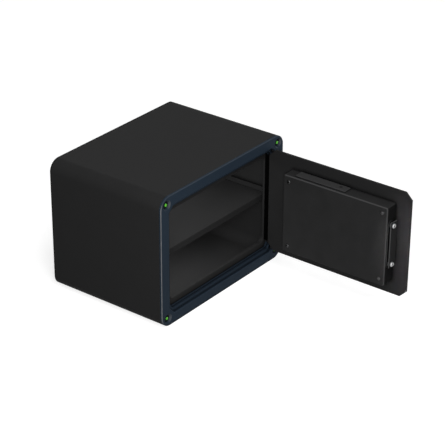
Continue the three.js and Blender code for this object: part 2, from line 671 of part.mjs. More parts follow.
// Lock cover: a hollow moulding with four screw bosses, a side opening for the bolt guide and a
// battery opening in its top
function lockCover() {
  const near = DOOR_IN + SEAT_GAP;
  const inside = COVER_FRONT - COVER_WALL;
  const outline = roundedOutline(COVER_LENGTH, COVER_HEIGHT, COVER_CORNER);
  const housing = roundedSlab(outline, -COVER_FRONT, -near, COVER_EDGE_ROUND, 3, 5).mirror([0, 1, 0]);
  const cavityOutline = roundedOutline(
    COVER_LENGTH - 2 * COVER_WALL, COVER_HEIGHT - 2 * COVER_WALL, Math.max(COVER_CORNER - COVER_WALL, FUSE),
  );
  const cavity = toSolid(slab(cavityOutline, near - PAST, inside));
  const place = [COVER_MIDDLE, 0, MID_HEIGHT];
  const bosses = screwPlaces().map(([x, z]) => barY(SCREW_BOSS_RADIUS, near, inside + FUSE, x, z, 14));
  const bores = screwPlaces().flatMap(([x, z]) => [
    barY(SCREW_SHANK_RADIUS + SEAT_GAP, near - PAST, COVER_FRONT + PAST, x, z, 12),
    barY(SCREW_HEAD_RADIUS + SEAT_GAP, COVER_FRONT - SCREW_SINK, COVER_FRONT + PAST, x, z, 16),
  ]);
  const guide = guideSolid(
    COVER_FREE_END - PAST, COVER_FREE_END + COVER_WALL + PAST,
    BOLT_RADIUS + RUN_GAP + GUIDE_SPIGOT_WALL + SEAT_GAP,
  );
  const tray = block(
    TRAY_HINGE_END - TRAY_LENGTH + TRAY_WALL, TRAY_HINGE_END - TRAY_WALL,
    LID_MIDDLE_Y - TRAY_DEPTH / 2 + TRAY_WALL, LID_MIDDLE_Y + TRAY_DEPTH / 2 - TRAY_WALL,
    COVER_TOP - COVER_WALL - PAST, COVER_TOP + PAST,
  );
  const body = cut(housing.translate(place), cavity.translate(place));
  return cut(joined(body, ...bosses), ...bores, guide, tray);
}

// A capsule round both bolts, from x0 to x1
function guideSolid(x0, x1, halfWidth) {
  const levels = Object.values(BOLT_LEVELS);
  return joined(
    ...levels.map((z) => barX(halfWidth, x0, x1, BOLT_Y, z, 24)),
    block(x0, x1, BOLT_Y - halfWidth, BOLT_Y + halfWidth, levels[0], levels[1]),
  );
}

// Bolt guide: a capsule flange with a spigot in the cover's free side, and a plate that stands off it on
// a rib. Both have the two bores that the bolts slide in.
function boltGuide() {
  const seat = COVER_FREE_END - SEAT_GAP;
  const crown = COVER_FREE_END - GUIDE_PROUD;
  const inside = COVER_FREE_END + COVER_WALL + GUIDE_INSIDE;
  const bore = BOLT_RADIUS + RUN_GAP;
  const spigotHalf = bore + GUIDE_SPIGOT_WALL;
  const [low, high] = Object.values(BOLT_LEVELS);
  const flange = guideSolid(seat - GUIDE_FLANGE_THICK, seat, bore + GUIDE_SIDE_WALL);
  const spigot = guideSolid(seat - FUSE, inside, spigotHalf);
  const plateNear = DOOR_IN + GUIDE_PLATE_FROM_DOOR;
  const plate = block(
    crown, crown + GUIDE_PLATE_THICK, plateNear, plateNear + GUIDE_PLATE_WIDTH,
    low - GUIDE_PLATE_END_MARGIN, high + GUIDE_PLATE_END_MARGIN,
  );
  const ribNear = BOLT_Y - spigotHalf;
  const rib = block(
    crown + FUSE, seat - FUSE, ribNear, ribNear + GUIDE_RIB_THICK,
    low + bore + GUIDE_RIB_END_GAP, high - bore - GUIDE_RIB_END_GAP,
  );
  const bores = [low, high].map((z) => barX(bore, crown - PAST, inside + PAST, BOLT_Y, z, 24));
  return cut(joined(flange, spigot, plate, rib), ...bores);
}

// A cover screw with a domed head. Its cross recess is left to the finish.
function coverScrew() {
  const seat = COVER_FRONT - SCREW_SINK + SEAT_GAP;
  const end = DOOR_IN - SCREW_IN_DOOR;
  const profile = [
    new THREE.Vector2(0, end), new THREE.Vector2(SCREW_SHANK_RADIUS, end),
    new THREE.Vector2(SCREW_SHANK_RADIUS, seat), new THREE.Vector2(SCREW_HEAD_RADIUS, seat),
    ...SCREW_DOME.map(([out, up]) => new THREE.Vector2(
      SCREW_HEAD_RADIUS * out, seat + SCREW_HEAD_THICK * up,
    )),
  ];
  return toSolid(new THREE.LatheGeometry(profile, 12));
}

// Battery tray: an open box for two layers of two cells
function batteryTray() {
  const x0 = TRAY_HINGE_END - TRAY_LENGTH;
  const y0 = LID_MIDDLE_Y - TRAY_DEPTH / 2;
  const y1 = LID_MIDDLE_Y + TRAY_DEPTH / 2;
  const floor = TRAY_TOP - TRAY_HEIGHT;
  return cut(
    block(x0, TRAY_HINGE_END, y0, y1, floor, TRAY_TOP),
    block(
      x0 + TRAY_WALL, TRAY_HINGE_END - TRAY_WALL, y0 + TRAY_WALL, y1 - TRAY_WALL,
      floor + TRAY_WALL, TRAY_TOP + PAST,
    ),
  );
}

// A cell along X, with its nub at the hinge end
function batteryCell() {
  const can = barX(CELL_RADIUS, 0, CELL_LENGTH, 0, 0, 16);
  return joined(can, barX(CELL_NUB_RADIUS, CELL_LENGTH - FUSE, CELL_LENGTH + CELL_NUB_LENGTH, 0, 0, 10));
}

function cellPlaces() {
  const start = TRAY_HINGE_END - TRAY_LENGTH + TRAY_WALL + SEAT_GAP;
  const pitch = CELL_LENGTH + CELL_NUB_LENGTH + SEAT_GAP;
  const low = TRAY_TOP - TRAY_HEIGHT + TRAY_WALL + SEAT_GAP + CELL_RADIUS;
  const places = [];
  for (let layer = 0; layer < 2; layer += 1) {
    for (let column = 0; column < 2; column += 1) {
      places.push([start + column * pitch, low + layer * (2 * CELL_RADIUS + SEAT_GAP)]);
    }
  }
  return places;
}

// Battery lid: a plate on the cover's top, with a tongue in the opening and a thumb dimple
function batteryLid() {
  const bottom = COVER_TOP + SEAT_GAP;
  const top = bottom + LID_THICK;
  const halfDepth = TRAY_DEPTH / 2 - TRAY_WALL + LID_SIDE_MARGIN;
  const plateOutline = roundedOutline(LID_LENGTH, 2 * halfDepth, LID_CORNER);
  const plate = new THREE.ExtrudeGeometry(plateOutline, {
    depth: LID_THICK - LID_EDGE, bevelEnabled: true, bevelThickness: LID_EDGE, bevelSize: LID_EDGE,
    bevelOffset: -LID_EDGE, bevelSegments: 1, curveSegments: 3,
  });
  plate.translate(LID_HINGE_END - LID_LENGTH / 2, LID_MIDDLE_Y, bottom);
  const trimmed = toSolid(plate).intersect(block(
    LID_HINGE_END - LID_LENGTH, LID_HINGE_END, LID_MIDDLE_Y - halfDepth, LID_MIDDLE_Y + halfDepth,
    bottom, top,
  ));
  const hold = TRAY_DEPTH / 2 - TRAY_WALL - SEAT_GAP;
  const tongueEnd = TRAY_HINGE_END - TRAY_WALL - SEAT_GAP;
  const tongueStart = TRAY_HINGE_END - TRAY_LENGTH + TRAY_WALL + SEAT_GAP + LID_TRAVEL;
  const tongueLow = Math.max(COVER_TOP - LID_TONGUE, TRAY_TOP + LID_TONGUE_LIFT);
  const tongue = block(
    tongueStart, tongueEnd, LID_MIDDLE_Y - hold, LID_MIDDLE_Y + hold, tongueLow, bottom + FUSE,
  );
  const dimple = new THREE.SphereGeometry(1, 14, 8);
  dimple.scale(LID_DIMPLE_RADIUS, LID_DIMPLE_RADIUS, LID_DIMPLE_DEPTH);
  const dimpleTool = movedSolid(
    dimple, LID_HINGE_END - LID_LENGTH + LID_DIMPLE_FROM_END, LID_MIDDLE_Y - LID_DIMPLE_OFFSET, top,
  );
  return cut(joined(trimmed, tongue), dimpleTool);
}

// A bolt: a bright round bar with a chamfered tip and a neck in the bolt bar
function bolt(level) {
  const bar = barX(BOLT_RADIUS, BOLT_TIP + BOLT_TIP_CHAMFER, BOLT_SHOULDER, BOLT_Y, level, 24);
  const tipProfile = [
    new THREE.Vector2(0, 0), new THREE.Vector2(BOLT_RADIUS - BOLT_TIP_CHAMFER, 0),
    new THREE.Vector2(BOLT_RADIUS, BOLT_TIP_CHAMFER),
    new THREE.Vector2(BOLT_RADIUS, BOLT_TIP_CHAMFER + FUSE), new THREE.Vector2(0, BOLT_TIP_CHAMFER + FUSE),
  ];
  const tip = new THREE.LatheGeometry(tipProfile, 24);
  tip.rotateZ(-Math.PI / 2);
  const neckEnd = BOLT_SHOULDER + SEAT_GAP + BAR_THICK;
  const neck = barX(BOLT_NECK_RADIUS, BOLT_SHOULDER - FUSE, neckEnd, BOLT_Y, level, 14);
  return joined(bar, movedSolid(tip, BOLT_TIP, BOLT_Y, level), neck);
}

// Bolt bar: it carries both bolts, and its arm has the upright slot that the crank pin runs in
function boltBar() {
  const x0 = BOLT_SHOULDER + SEAT_GAP;
  const x1 = x0 + BAR_THICK;
  const levels = Object.values(BOLT_LEVELS);
  const near = BOLT_Y - BAR_BACK_MARGIN;
  const far = COVER_FRONT - COVER_WALL - SEAT_GAP;
  const bar = block(x0, x1, near, far, levels[0] - BAR_END_MARGIN, levels[1] + BAR_END_MARGIN);
  const holes = levels.map((z) => barX(BOLT_NECK_RADIUS + SEAT_GAP, x0 - PAST, x1 + PAST, BOLT_Y, z, 14));
  const slotX = SPINDLE_X + CRANK_RADIUS * Math.sin(CRANK_ANGLE);
  const slotHalf = CRANK_PIN_RADIUS + CRANK_SLOT_GAP;
  const slotLow = MID_HEIGHT + CRANK_RADIUS * Math.cos(CRANK_ANGLE) - slotHalf;
  const slotHigh = MID_HEIGHT + CRANK_RADIUS + slotHalf;
  const arm = block(
    x0, slotX + slotHalf + ARM_WEB, ARM_NEAR, ARM_FAR, slotLow - ARM_WEB, slotHigh + ARM_WEB,
  );
  const slot = block(
    slotX - slotHalf, slotX + slotHalf, ARM_NEAR - PAST, ARM_FAR + PAST, slotLow, slotHigh,
  );
  return cut(joined(bar, arm), ...holes, slot);
}

// Spindle with its crank disc and pin, at the place it has while the bolts are drawn in
function knobSpindle() {
  const pinX = SPINDLE_X + CRANK_RADIUS * Math.sin(CRANK_ANGLE);
  const pinZ = MID_HEIGHT + CRANK_RADIUS * Math.cos(CRANK_ANGLE);
  const start = DOOR_OUT - SEAT_GAP - KNOB_BASE_THICK / 2;
  return joined(
    barY(SPINDLE_RADIUS, start, CRANK_NEAR + FUSE, SPINDLE_X, MID_HEIGHT, 20),
    barY(CRANK_DISC_RADIUS, CRANK_NEAR, CRANK_FAR, SPINDLE_X, MID_HEIGHT, 36),
    barY(CRANK_PIN_RADIUS, CRANK_FAR - FUSE, ARM_FAR + ARM_GAP, pinX, pinZ, 14),
  );
}

// Turning knob: a fluted base with a raised grip, on the outside of the door
function turnKnob() {
  const seat = DOOR_OUT - SEAT_GAP;
  const face = seat - KNOB_BASE_THICK;
  const outline = new THREE.Shape();
  outline.absarc(0, 0, KNOB_RADIUS, 0, 2 * Math.PI);
  const place = [SPINDLE_X, 0, MID_HEIGHT];
  const base = roundedSlab(outline, face, seat, KNOB_EDGE_ROUND, 2).translate(place);
  const gripOutline = roundedOutline(
    KNOB_GRIP_WIDTH, 2 * (KNOB_RADIUS - KNOB_GRIP_INSET), KNOB_GRIP_WIDTH / 2 - KNOB_GRIP_FLAT,
  );
  const grip = roundedSlab(gripOutline, face - KNOB_GRIP_HEIGHT, face + FUSE, KNOB_GRIP_ROUND, 2)
    .translate(place);
  const flutes = [];
  const fluteCircle = KNOB_RADIUS + KNOB_FLUTE_PROUD;
  for (let i = 0; i < KNOB_FLUTES; i += 1) {
    const angle = ((i + 0.5) / KNOB_FLUTES) * 2 * Math.PI;
    flutes.push(barY(
      KNOB_FLUTE_RADIUS, face - PAST, seat + PAST,
      SPINDLE_X + fluteCircle * Math.sin(angle), MID_HEIGHT + fluteCircle * Math.cos(angle), 8,
    ));
  }
  const bore = barY(
    SPINDLE_RADIUS + SEAT_GAP, seat - KNOB_BASE_THICK / 2 - SEAT_GAP, seat + PAST, SPINDLE_X, MID_HEIGHT, 20,
  );
  return cut(joined(base, grip), ...flutes, bore);
}

// Solenoid: a folded frame, a coil and a plunger whose tip stops short of the crank disc
function solenoidAxis() {
  return {
    y: DOOR_IN + SEAT_GAP + SOLENOID_SHEET + SEAT_GAP + COIL_RADIUS,
    start: SPINDLE_X + CRANK_DISC_RADIUS + RUN_GAP + PLUNGER_BARE,
  };
}

function solenoidFrame() {
  const { y, start } = solenoidAxis();
  const end = start + 2 * SOLENOID_SHEET + 2 * SEAT_GAP + COIL_LENGTH;
  const half = COIL_RADIUS + SOLENOID_MARGIN;
  const outer = block(start, end, DOOR_IN + SEAT_GAP, y + COIL_RADIUS, MID_HEIGHT - half, MID_HEIGHT + half);
  const bay = block(
    start + SOLENOID_SHEET, end - SOLENOID_SHEET, y - COIL_RADIUS - SEAT_GAP, y + COIL_RADIUS + PAST,
    MID_HEIGHT - half - PAST, MID_HEIGHT + half + PAST,
  );
  const bore = barX(PLUNGER_RADIUS + RUN_GAP, start - PAST, end - SOLENOID_SHEET - PAST, y, MID_HEIGHT, 14);
  return cut(outer, bay, bore);
}

function solenoidCoil() {
  const { y, start } = solenoidAxis();
  const x0 = start + SOLENOID_SHEET + SEAT_GAP;
  const reach = SOLENOID_SHEET + PLUNGER_TRAVEL + COIL_LENGTH / 2;
  return cut(
    barX(COIL_RADIUS, x0, x0 + COIL_LENGTH, y, MID_HEIGHT, 20),
    barX(PLUNGER_RADIUS + RUN_GAP, x0 - PAST, start + reach + 2 * RUN_GAP, y, MID_HEIGHT, 14),
  );
}

function solenoidPlunger() {
  const { y, start } = solenoidAxis();
  const end = start + SOLENOID_SHEET + COIL_LENGTH / 2;
  return barX(PLUNGER_RADIUS, start - PLUNGER_BARE, end, y, MID_HEIGHT, 14);
}

// Keypad panel with a hole for each key and one for the lamp
function keypadPanel() {
  const outline = roundedOutline(PANEL_WIDTH, PANEL_HEIGHT, PANEL_CORNER);
  const plate = roundedSlab(outline, PANEL_FRONT, DOOR_OUT - SEAT_GAP, PANEL_EDGE_ROUND, 1, 5)
    .translate([PANEL_X, 0, MID_HEIGHT]);
  const gap = 2 * SEAT_GAP;
  const holes = keyPlaces().map(([x, z]) => toSolid(slab(
    roundedOutline(KEY_WIDTH + gap, KEY_HEIGHT + gap, KEY_ROUND + SEAT_GAP), PANEL_FRONT - PAST, DOOR_OUT,
    { curveSegments: 2 },
  )).translate([x, 0, z]));
  const [lampX, lampZ] = lampPlace();
  const lampHole = barY(LAMP_RADIUS + SEAT_GAP, PANEL_FRONT - PAST, DOOR_OUT, lampX, lampZ, 12);
  return cut(plate, ...holes, lampHole);
}

function keyPlaces() {
  const places = [];
  for (let row = 0; row < KEY_ROWS; row += 1) {
    for (let column = 0; column < KEY_COLUMNS; column += 1) {
      places.push([
        PANEL_X + (column - (KEY_COLUMNS - 1) / 2) * KEY_PITCH_X,
        KEYS_Z + ((KEY_ROWS - 1) / 2 - row) * KEY_PITCH_Z,
      ]);
    }
  }
  return places;
}

function lampPlace() {
  const topKey = KEYS_Z + (KEY_ROWS - 1) / 2 * KEY_PITCH_Z + KEY_HEIGHT / 2;
  return [PANEL_X, topKey + PANEL_HEAD / 2 + LAMP_RADIUS];
}

function keypadKey() {
  const outline = roundedOutline(KEY_WIDTH, KEY_HEIGHT, KEY_ROUND);
  const back = DOOR_OUT - SEAT_GAP - KEY_TRAVEL;
  return roundedSlab(outline, PANEL_FRONT - KEY_PROUD, back, KEY_EDGE_ROUND, 1, 2);
}

function statusLamp() {
  const [x, z] = lampPlace();
  const profile = [
    new THREE.Vector2(0, 0), new THREE.Vector2(LAMP_RADIUS, 0), new THREE.Vector2(LAMP_RADIUS, PANEL_THICK),
    new THREE.Vector2(LAMP_RADIUS * LAMP_SHOULDER, PANEL_THICK + LAMP_PROUD * LAMP_SHOULDER),
    new THREE.Vector2(0, PANEL_THICK + LAMP_PROUD),
  ];
  const geometry = new THREE.LatheGeometry(profile, 12);
  geometry.rotateX(Math.PI);
  return movedSolid(geometry, x, DOOR_OUT - SEAT_GAP, z);
}

// Override lock: a flanged barrel through the plate, and a plug with a keyway that turns in it
function overrideBarrel() {
  const seat = DOOR_OUT - SEAT_GAP;
  const face = seat - BARREL_FLANGE_THICK;
  const end = DOOR_IN + BARREL_IN_COVER;
  const faceRadius = BARREL_FLANGE_RADIUS - BARREL_FLANGE_TAPER;
  return cut(
    joined(
      barY(BARREL_RADIUS, seat - FUSE, end, SPINDLE_X, OVERRIDE_Z, 28),
      barY(faceRadius, face, seat, SPINDLE_X, OVERRIDE_Z, 28, BARREL_FLANGE_RADIUS),
    ),
    barY(PLUG_RADIUS + SEAT_GAP, face - PAST, end - BARREL_END_WALL, SPINDLE_X, OVERRIDE_Z, 20),
  );
}

function overridePlug() {
  const face = DOOR_OUT - SEAT_GAP - BARREL_FLANGE_THICK - PLUG_PROUD;
  const end = DOOR_IN + BARREL_IN_COVER - BARREL_END_WALL - SEAT_GAP;
  return cut(
    barY(PLUG_RADIUS, face, end, SPINDLE_X, OVERRIDE_Z, 20),
    block(
      SPINDLE_X - KEYWAY_WIDTH / 2, SPINDLE_X + KEYWAY_WIDTH / 2, face - PAST, face + KEYWAY_DEPTH,
      OVERRIDE_Z - KEYWAY_HEIGHT / 2, OVERRIDE_Z + KEYWAY_HEIGHT / 2,
    ),
  );
}

// Circuit board on its four posts, with a buzzer and a connector
function boardCentre() {
  return [
    COVER_HINGE_END - BOARD_FROM_COVER_END - BOARD_WIDTH / 2,
    MID_HEIGHT - COVER_HEIGHT / 2 + BOARD_FROM_COVER_END + BOARD_HEIGHT / 2,
  ];
}

function boardPostPlaces() {
  const [x, z] = boardCentre();
  const dx = BOARD_WIDTH / 2 - BOARD_POST_INSET;
  const dz = BOARD_HEIGHT / 2 - BOARD_POST_INSET;
  return [[x - dx, z - dz], [x + dx, z - dz], [x - dx, z + dz], [x + dx, z + dz]];
}

function circuitBoard() {
  const [x, z] = boardCentre();
  const near = DOOR_IN + BOARD_LIFT + SEAT_GAP;
  const notch = SCREW_BOSS_RADIUS + BOARD_NOTCH_GAP;
  const boss = screwPlaces()[3];
  const board = block(
    x - BOARD_WIDTH / 2, x + BOARD_WIDTH / 2, near, near + BOARD_THICK,
    z - BOARD_HEIGHT / 2, z + BOARD_HEIGHT / 2,
  );
  return cut(board, barY(notch, near - PAST, near + BOARD_THICK + PAST, boss[0], boss[1], 14));
}

function boardTop() {
  return DOOR_IN + BOARD_LIFT + SEAT_GAP + BOARD_THICK + SEAT_GAP;
}

function boardBuzzer() {
  const [x, z] = boardCentre();
  const y = boardTop();
  return barY(BUZZER_RADIUS, y, y + BUZZER_HEIGHT, x - BOARD_WIDTH / 4, z + BOARD_HEIGHT / 4, 20);
}

function boardConnector() {
  const [x, z] = boardCentre();
  const y = boardTop();
  const half = CONNECTOR_WIDTH / 2;
  const side = CONNECTOR_DEPTH / 2;
  const top = y + CONNECTOR_HEIGHT;
  const innerHalf = half - CONNECTOR_WALL;
  const innerSide = side - CONNECTOR_WALL;
  const socket = block(
    x - innerHalf, x + innerHalf, y + CONNECTOR_FLOOR, top + PAST, z - innerSide, z + innerSide,
  );
  return cut(block(x - half, x + half, y, top, z - side, z + side), socket);
}

// Assembly
function bodyGroup() {
  const group = new THREE.Group();
  group.name = 'body';
  group.add(piece('body_shell', bodyShell(), BLACK_COAT));
  group.add(piece('back_panel', backPanel(), BLACK_COAT));
  group.add(piece('front_frame', frontFrame(), NAVY_MOULDING));
  group.add(piece('door_collar', doorCollar(), BLACK_COAT));
  group.add(piece('shelf', shelf(), BLACK_COAT));
  group.add(piece('shelf_rail_left', shelfRail(-1), BLACK_COAT));
  group.add(piece('shelf_rail_right', shelfRail(1), BLACK_COAT));
  capPlaces().forEach(([x, z], i) => {
    const cap = piece(`corner_cap_${i + 1}`, cornerCap(), GREEN_CAP);
    cap.position.set(x, 0, z);
    group.add(cap);
  });
  anchorPlaces().forEach((x, i) => {
    const basePlug = piece(`base_plug_${i + 1}`, anchorPlug(WALL), RUBBER);
    basePlug.position.set(x, BACK - BASE_ANCHOR_FROM_BACK, WALL);
    group.add(basePlug);
    const backPlug = piece(`back_plug_${i + 1}`, anchorPlug(BACK_THICK), RUBBER);
    backPlug.rotation.x = Math.PI / 2;
    backPlug.position.set(x, BACK - BACK_THICK, BACK_ANCHOR_HEIGHT);
    group.add(backPlug);
  });
  hingePinSpans().forEach(([z0, z1], i) => {
    const name = i === 0 ? 'hinge_pin_lower' : 'hinge_pin_upper';
    group.add(piece(name, barZ(HINGE_PIN_RADIUS, z0, z1, HINGE_X, HINGE_Y, 12), ZINC_STEEL));
  });
  return group;
}

function doorGroup() {
  const group = new THREE.Group();
  group.name = 'door';
  group.add(piece('door_plate', doorPlate(), BLACK_COAT));
  group.add(piece('lock_cover', lockCover(), BLACK_MOULDING));
  group.add(piece('bolt_guide', boltGuide(), RUBBER));
  screwPlaces().forEach(([x, z], i) => {
    const screw = piece(`cover_screw_${i + 1}`, coverScrew(), BRIGHT_STEEL);
    screw.position.set(x, 0, z);
    group.add(screw);
  });
  group.add(piece('battery_tray', batteryTray(), BLACK_MOULDING));
  cellPlaces().forEach(([x, z], i) => {
    const cell = piece(`battery_cell_${i + 1}`, batteryCell(), CELL_WRAP);
    cell.position.set(x, LID_MIDDLE_Y, z);
    group.add(cell);
  });
  group.add(piece('battery_lid', batteryLid(), LID_MOULDING));
  Object.entries(BOLT_LEVELS).forEach(([name, level]) => group.add(piece(name, bolt(level), BRIGHT_STEEL)));
  group.add(piece('bolt_bar', boltBar(), ZINC_STEEL));
  group.add(piece('knob_spindle', knobSpindle(), ZINC_STEEL));
  group.add(piece('turn_knob', turnKnob(), BLACK_MOULDING));
  group.add(piece('solenoid_frame', solenoidFrame(), ZINC_STEEL));
  group.add(piece('solenoid_coil', solenoidCoil(), BRASS));
  group.add(piece('solenoid_plunger', solenoidPlunger(), BRIGHT_STEEL));
  group.add(piece('keypad_panel', keypadPanel(), BLACK_MOULDING));
  keyPlaces().forEach(([x, z], i) => {
    const key = piece(`keypad_key_${i + 1}`, keypadKey(), KEY_MOULDING);
    key.position.set(x, 0, z);
    group.add(key);
  });
  group.add(piece('status_lamp', statusLamp(), LAMP_LENS));
  group.add(piece('override_barrel', overrideBarrel(), BRIGHT_STEEL));
  group.add(piece('override_plug', overridePlug(), BRASS));
  group.add(piece('circuit_board', circuitBoard(), GREEN_BOARD));
  group.add(piece('board_buzzer', boardBuzzer(), BLACK_MOULDING));
  group.add(piece('board_connector', boardConnector(), KEY_MOULDING));
  group.position.set(HINGE_X, HINGE_Y, 0);
  group.rotation.z = THREE.MathUtils.degToRad(DOOR_OPEN_ANGLE);
  return group;
}

const safe = new THREE.Group();
safe.name = 'car_safe';
safe.add(bodyGroup(), doorGroup());

export default safe;
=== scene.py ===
"""Looks of a portable car safe: a black coated steel body with one shelf, a navy front frame and an
open door that carries a lock cover, two round bolts, a knob and a keypad. Metres throughout."""

import json
import logging
import math
from dataclasses import dataclass
from enum import Enum
from functools import cache
from typing import Sequence

import bmesh
import bpy
from mathutils import Matrix, Vector


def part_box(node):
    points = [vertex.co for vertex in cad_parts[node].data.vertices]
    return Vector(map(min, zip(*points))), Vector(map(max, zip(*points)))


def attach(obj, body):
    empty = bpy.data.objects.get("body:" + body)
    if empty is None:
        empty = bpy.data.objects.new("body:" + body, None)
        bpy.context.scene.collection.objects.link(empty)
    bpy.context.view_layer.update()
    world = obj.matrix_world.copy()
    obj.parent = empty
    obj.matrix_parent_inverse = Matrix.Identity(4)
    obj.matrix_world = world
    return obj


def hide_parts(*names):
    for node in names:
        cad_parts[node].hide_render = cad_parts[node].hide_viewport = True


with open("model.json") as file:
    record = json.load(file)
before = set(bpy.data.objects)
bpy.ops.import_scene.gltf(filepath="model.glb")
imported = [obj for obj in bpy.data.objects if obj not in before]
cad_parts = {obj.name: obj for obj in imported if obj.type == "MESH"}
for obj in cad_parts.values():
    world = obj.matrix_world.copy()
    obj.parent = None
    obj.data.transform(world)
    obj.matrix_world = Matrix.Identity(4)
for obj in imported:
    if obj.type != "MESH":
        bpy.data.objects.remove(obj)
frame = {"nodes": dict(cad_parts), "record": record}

LOG = logging.getLogger("safe")
Colour = tuple[float, float, float]
Axes = tuple[float, float, float]
WHITE = (1.0, 1.0, 1.0, 1.0)

# Corners closer than this are one corner, and faces that lean less than this many degrees are one face
MERGE = 1e-6
MERGE_TIGHT = 1e-7
FLAT = 0.6
PLACE_DIGITS = 7

# Edges up to this many degrees are shaded smooth, unless a piece says otherwise
SMOOTH = 32.0


# Shader trees


class Val:
    """A shader value that takes part in Python arithmetic."""

    def __init__(self, tree: "ShaderTree", socket: bpy.types.NodeSocket) -> None:
        """Wraps a socket.

        Args:
            tree: The tree that new Math nodes go into.
            socket: The output socket that holds the value.
        """
        self.tree = tree
        self.socket = socket

    def _math(self, operation: str, *values: "Val | float") -> "Val":
        """Adds one Math node.

        Args:
            operation: The node's operation.
            values: The node's inputs, in order.

        Returns:
            The node's result.
        """
        node = self.tree.node("ShaderNodeMath", {"operation": operation}, dict(enumerate(values)))
        return Val(self.tree, node.outputs[0])

    def __add__(self, other: "Val | float") -> "Val":
        """Sum."""
        return self._math("ADD", self, other)

    __radd__ = __add__

    def __sub__(self, other: "Val | float") -> "Val":
        """Difference."""
        return self._math("SUBTRACT", self, other)

    def __rsub__(self, other: "Val | float") -> "Val":
        """Difference with the value on the right."""
        return self._math("SUBTRACT", other, self)

    def __mul__(self, other: "Val | float") -> "Val":
        """Product."""
        return self._math("MULTIPLY", self, other)

    __rmul__ = __mul__

    def __truediv__(self, other: "Val | float") -> "Val":
        """Quotient."""
        return self._math("DIVIDE", self, other)

    def __rtruediv__(self, other: "Val | float") -> "Val":
        """Quotient with the value below."""
        return self._math("DIVIDE", other, self)

    def __pow__(self, other: "Val | float") -> "Val":
        """Power."""
        return self._math("POWER", self, other)

    def __rpow__(self, other: "Val | float") -> "Val":
        """Power with the value as the exponent."""
        return self._math("POWER", other, self)

    def above(self, limit: "Val | float") -> "Val":
        """One where the value is above the limit, and zero elsewhere."""
        return self._math("GREATER_THAN", self, limit)

    def clipped(self) -> "Val":
        """The value held between zero and one."""
        return self._math("MINIMUM", self._math("MAXIMUM", self, 0.0), 1.0)

    def wave(self) -> "Val":
        """The value's sine."""
        return self._math("SINE", self)

    def sign(self) -> "Val":
        """Minus one, zero or one, as the value's sign."""
        return self._math("SIGN", self)

    def fraction(self) -> "Val":
        """The part of the value after its whole number."""
        return self._math("FRACT", self)


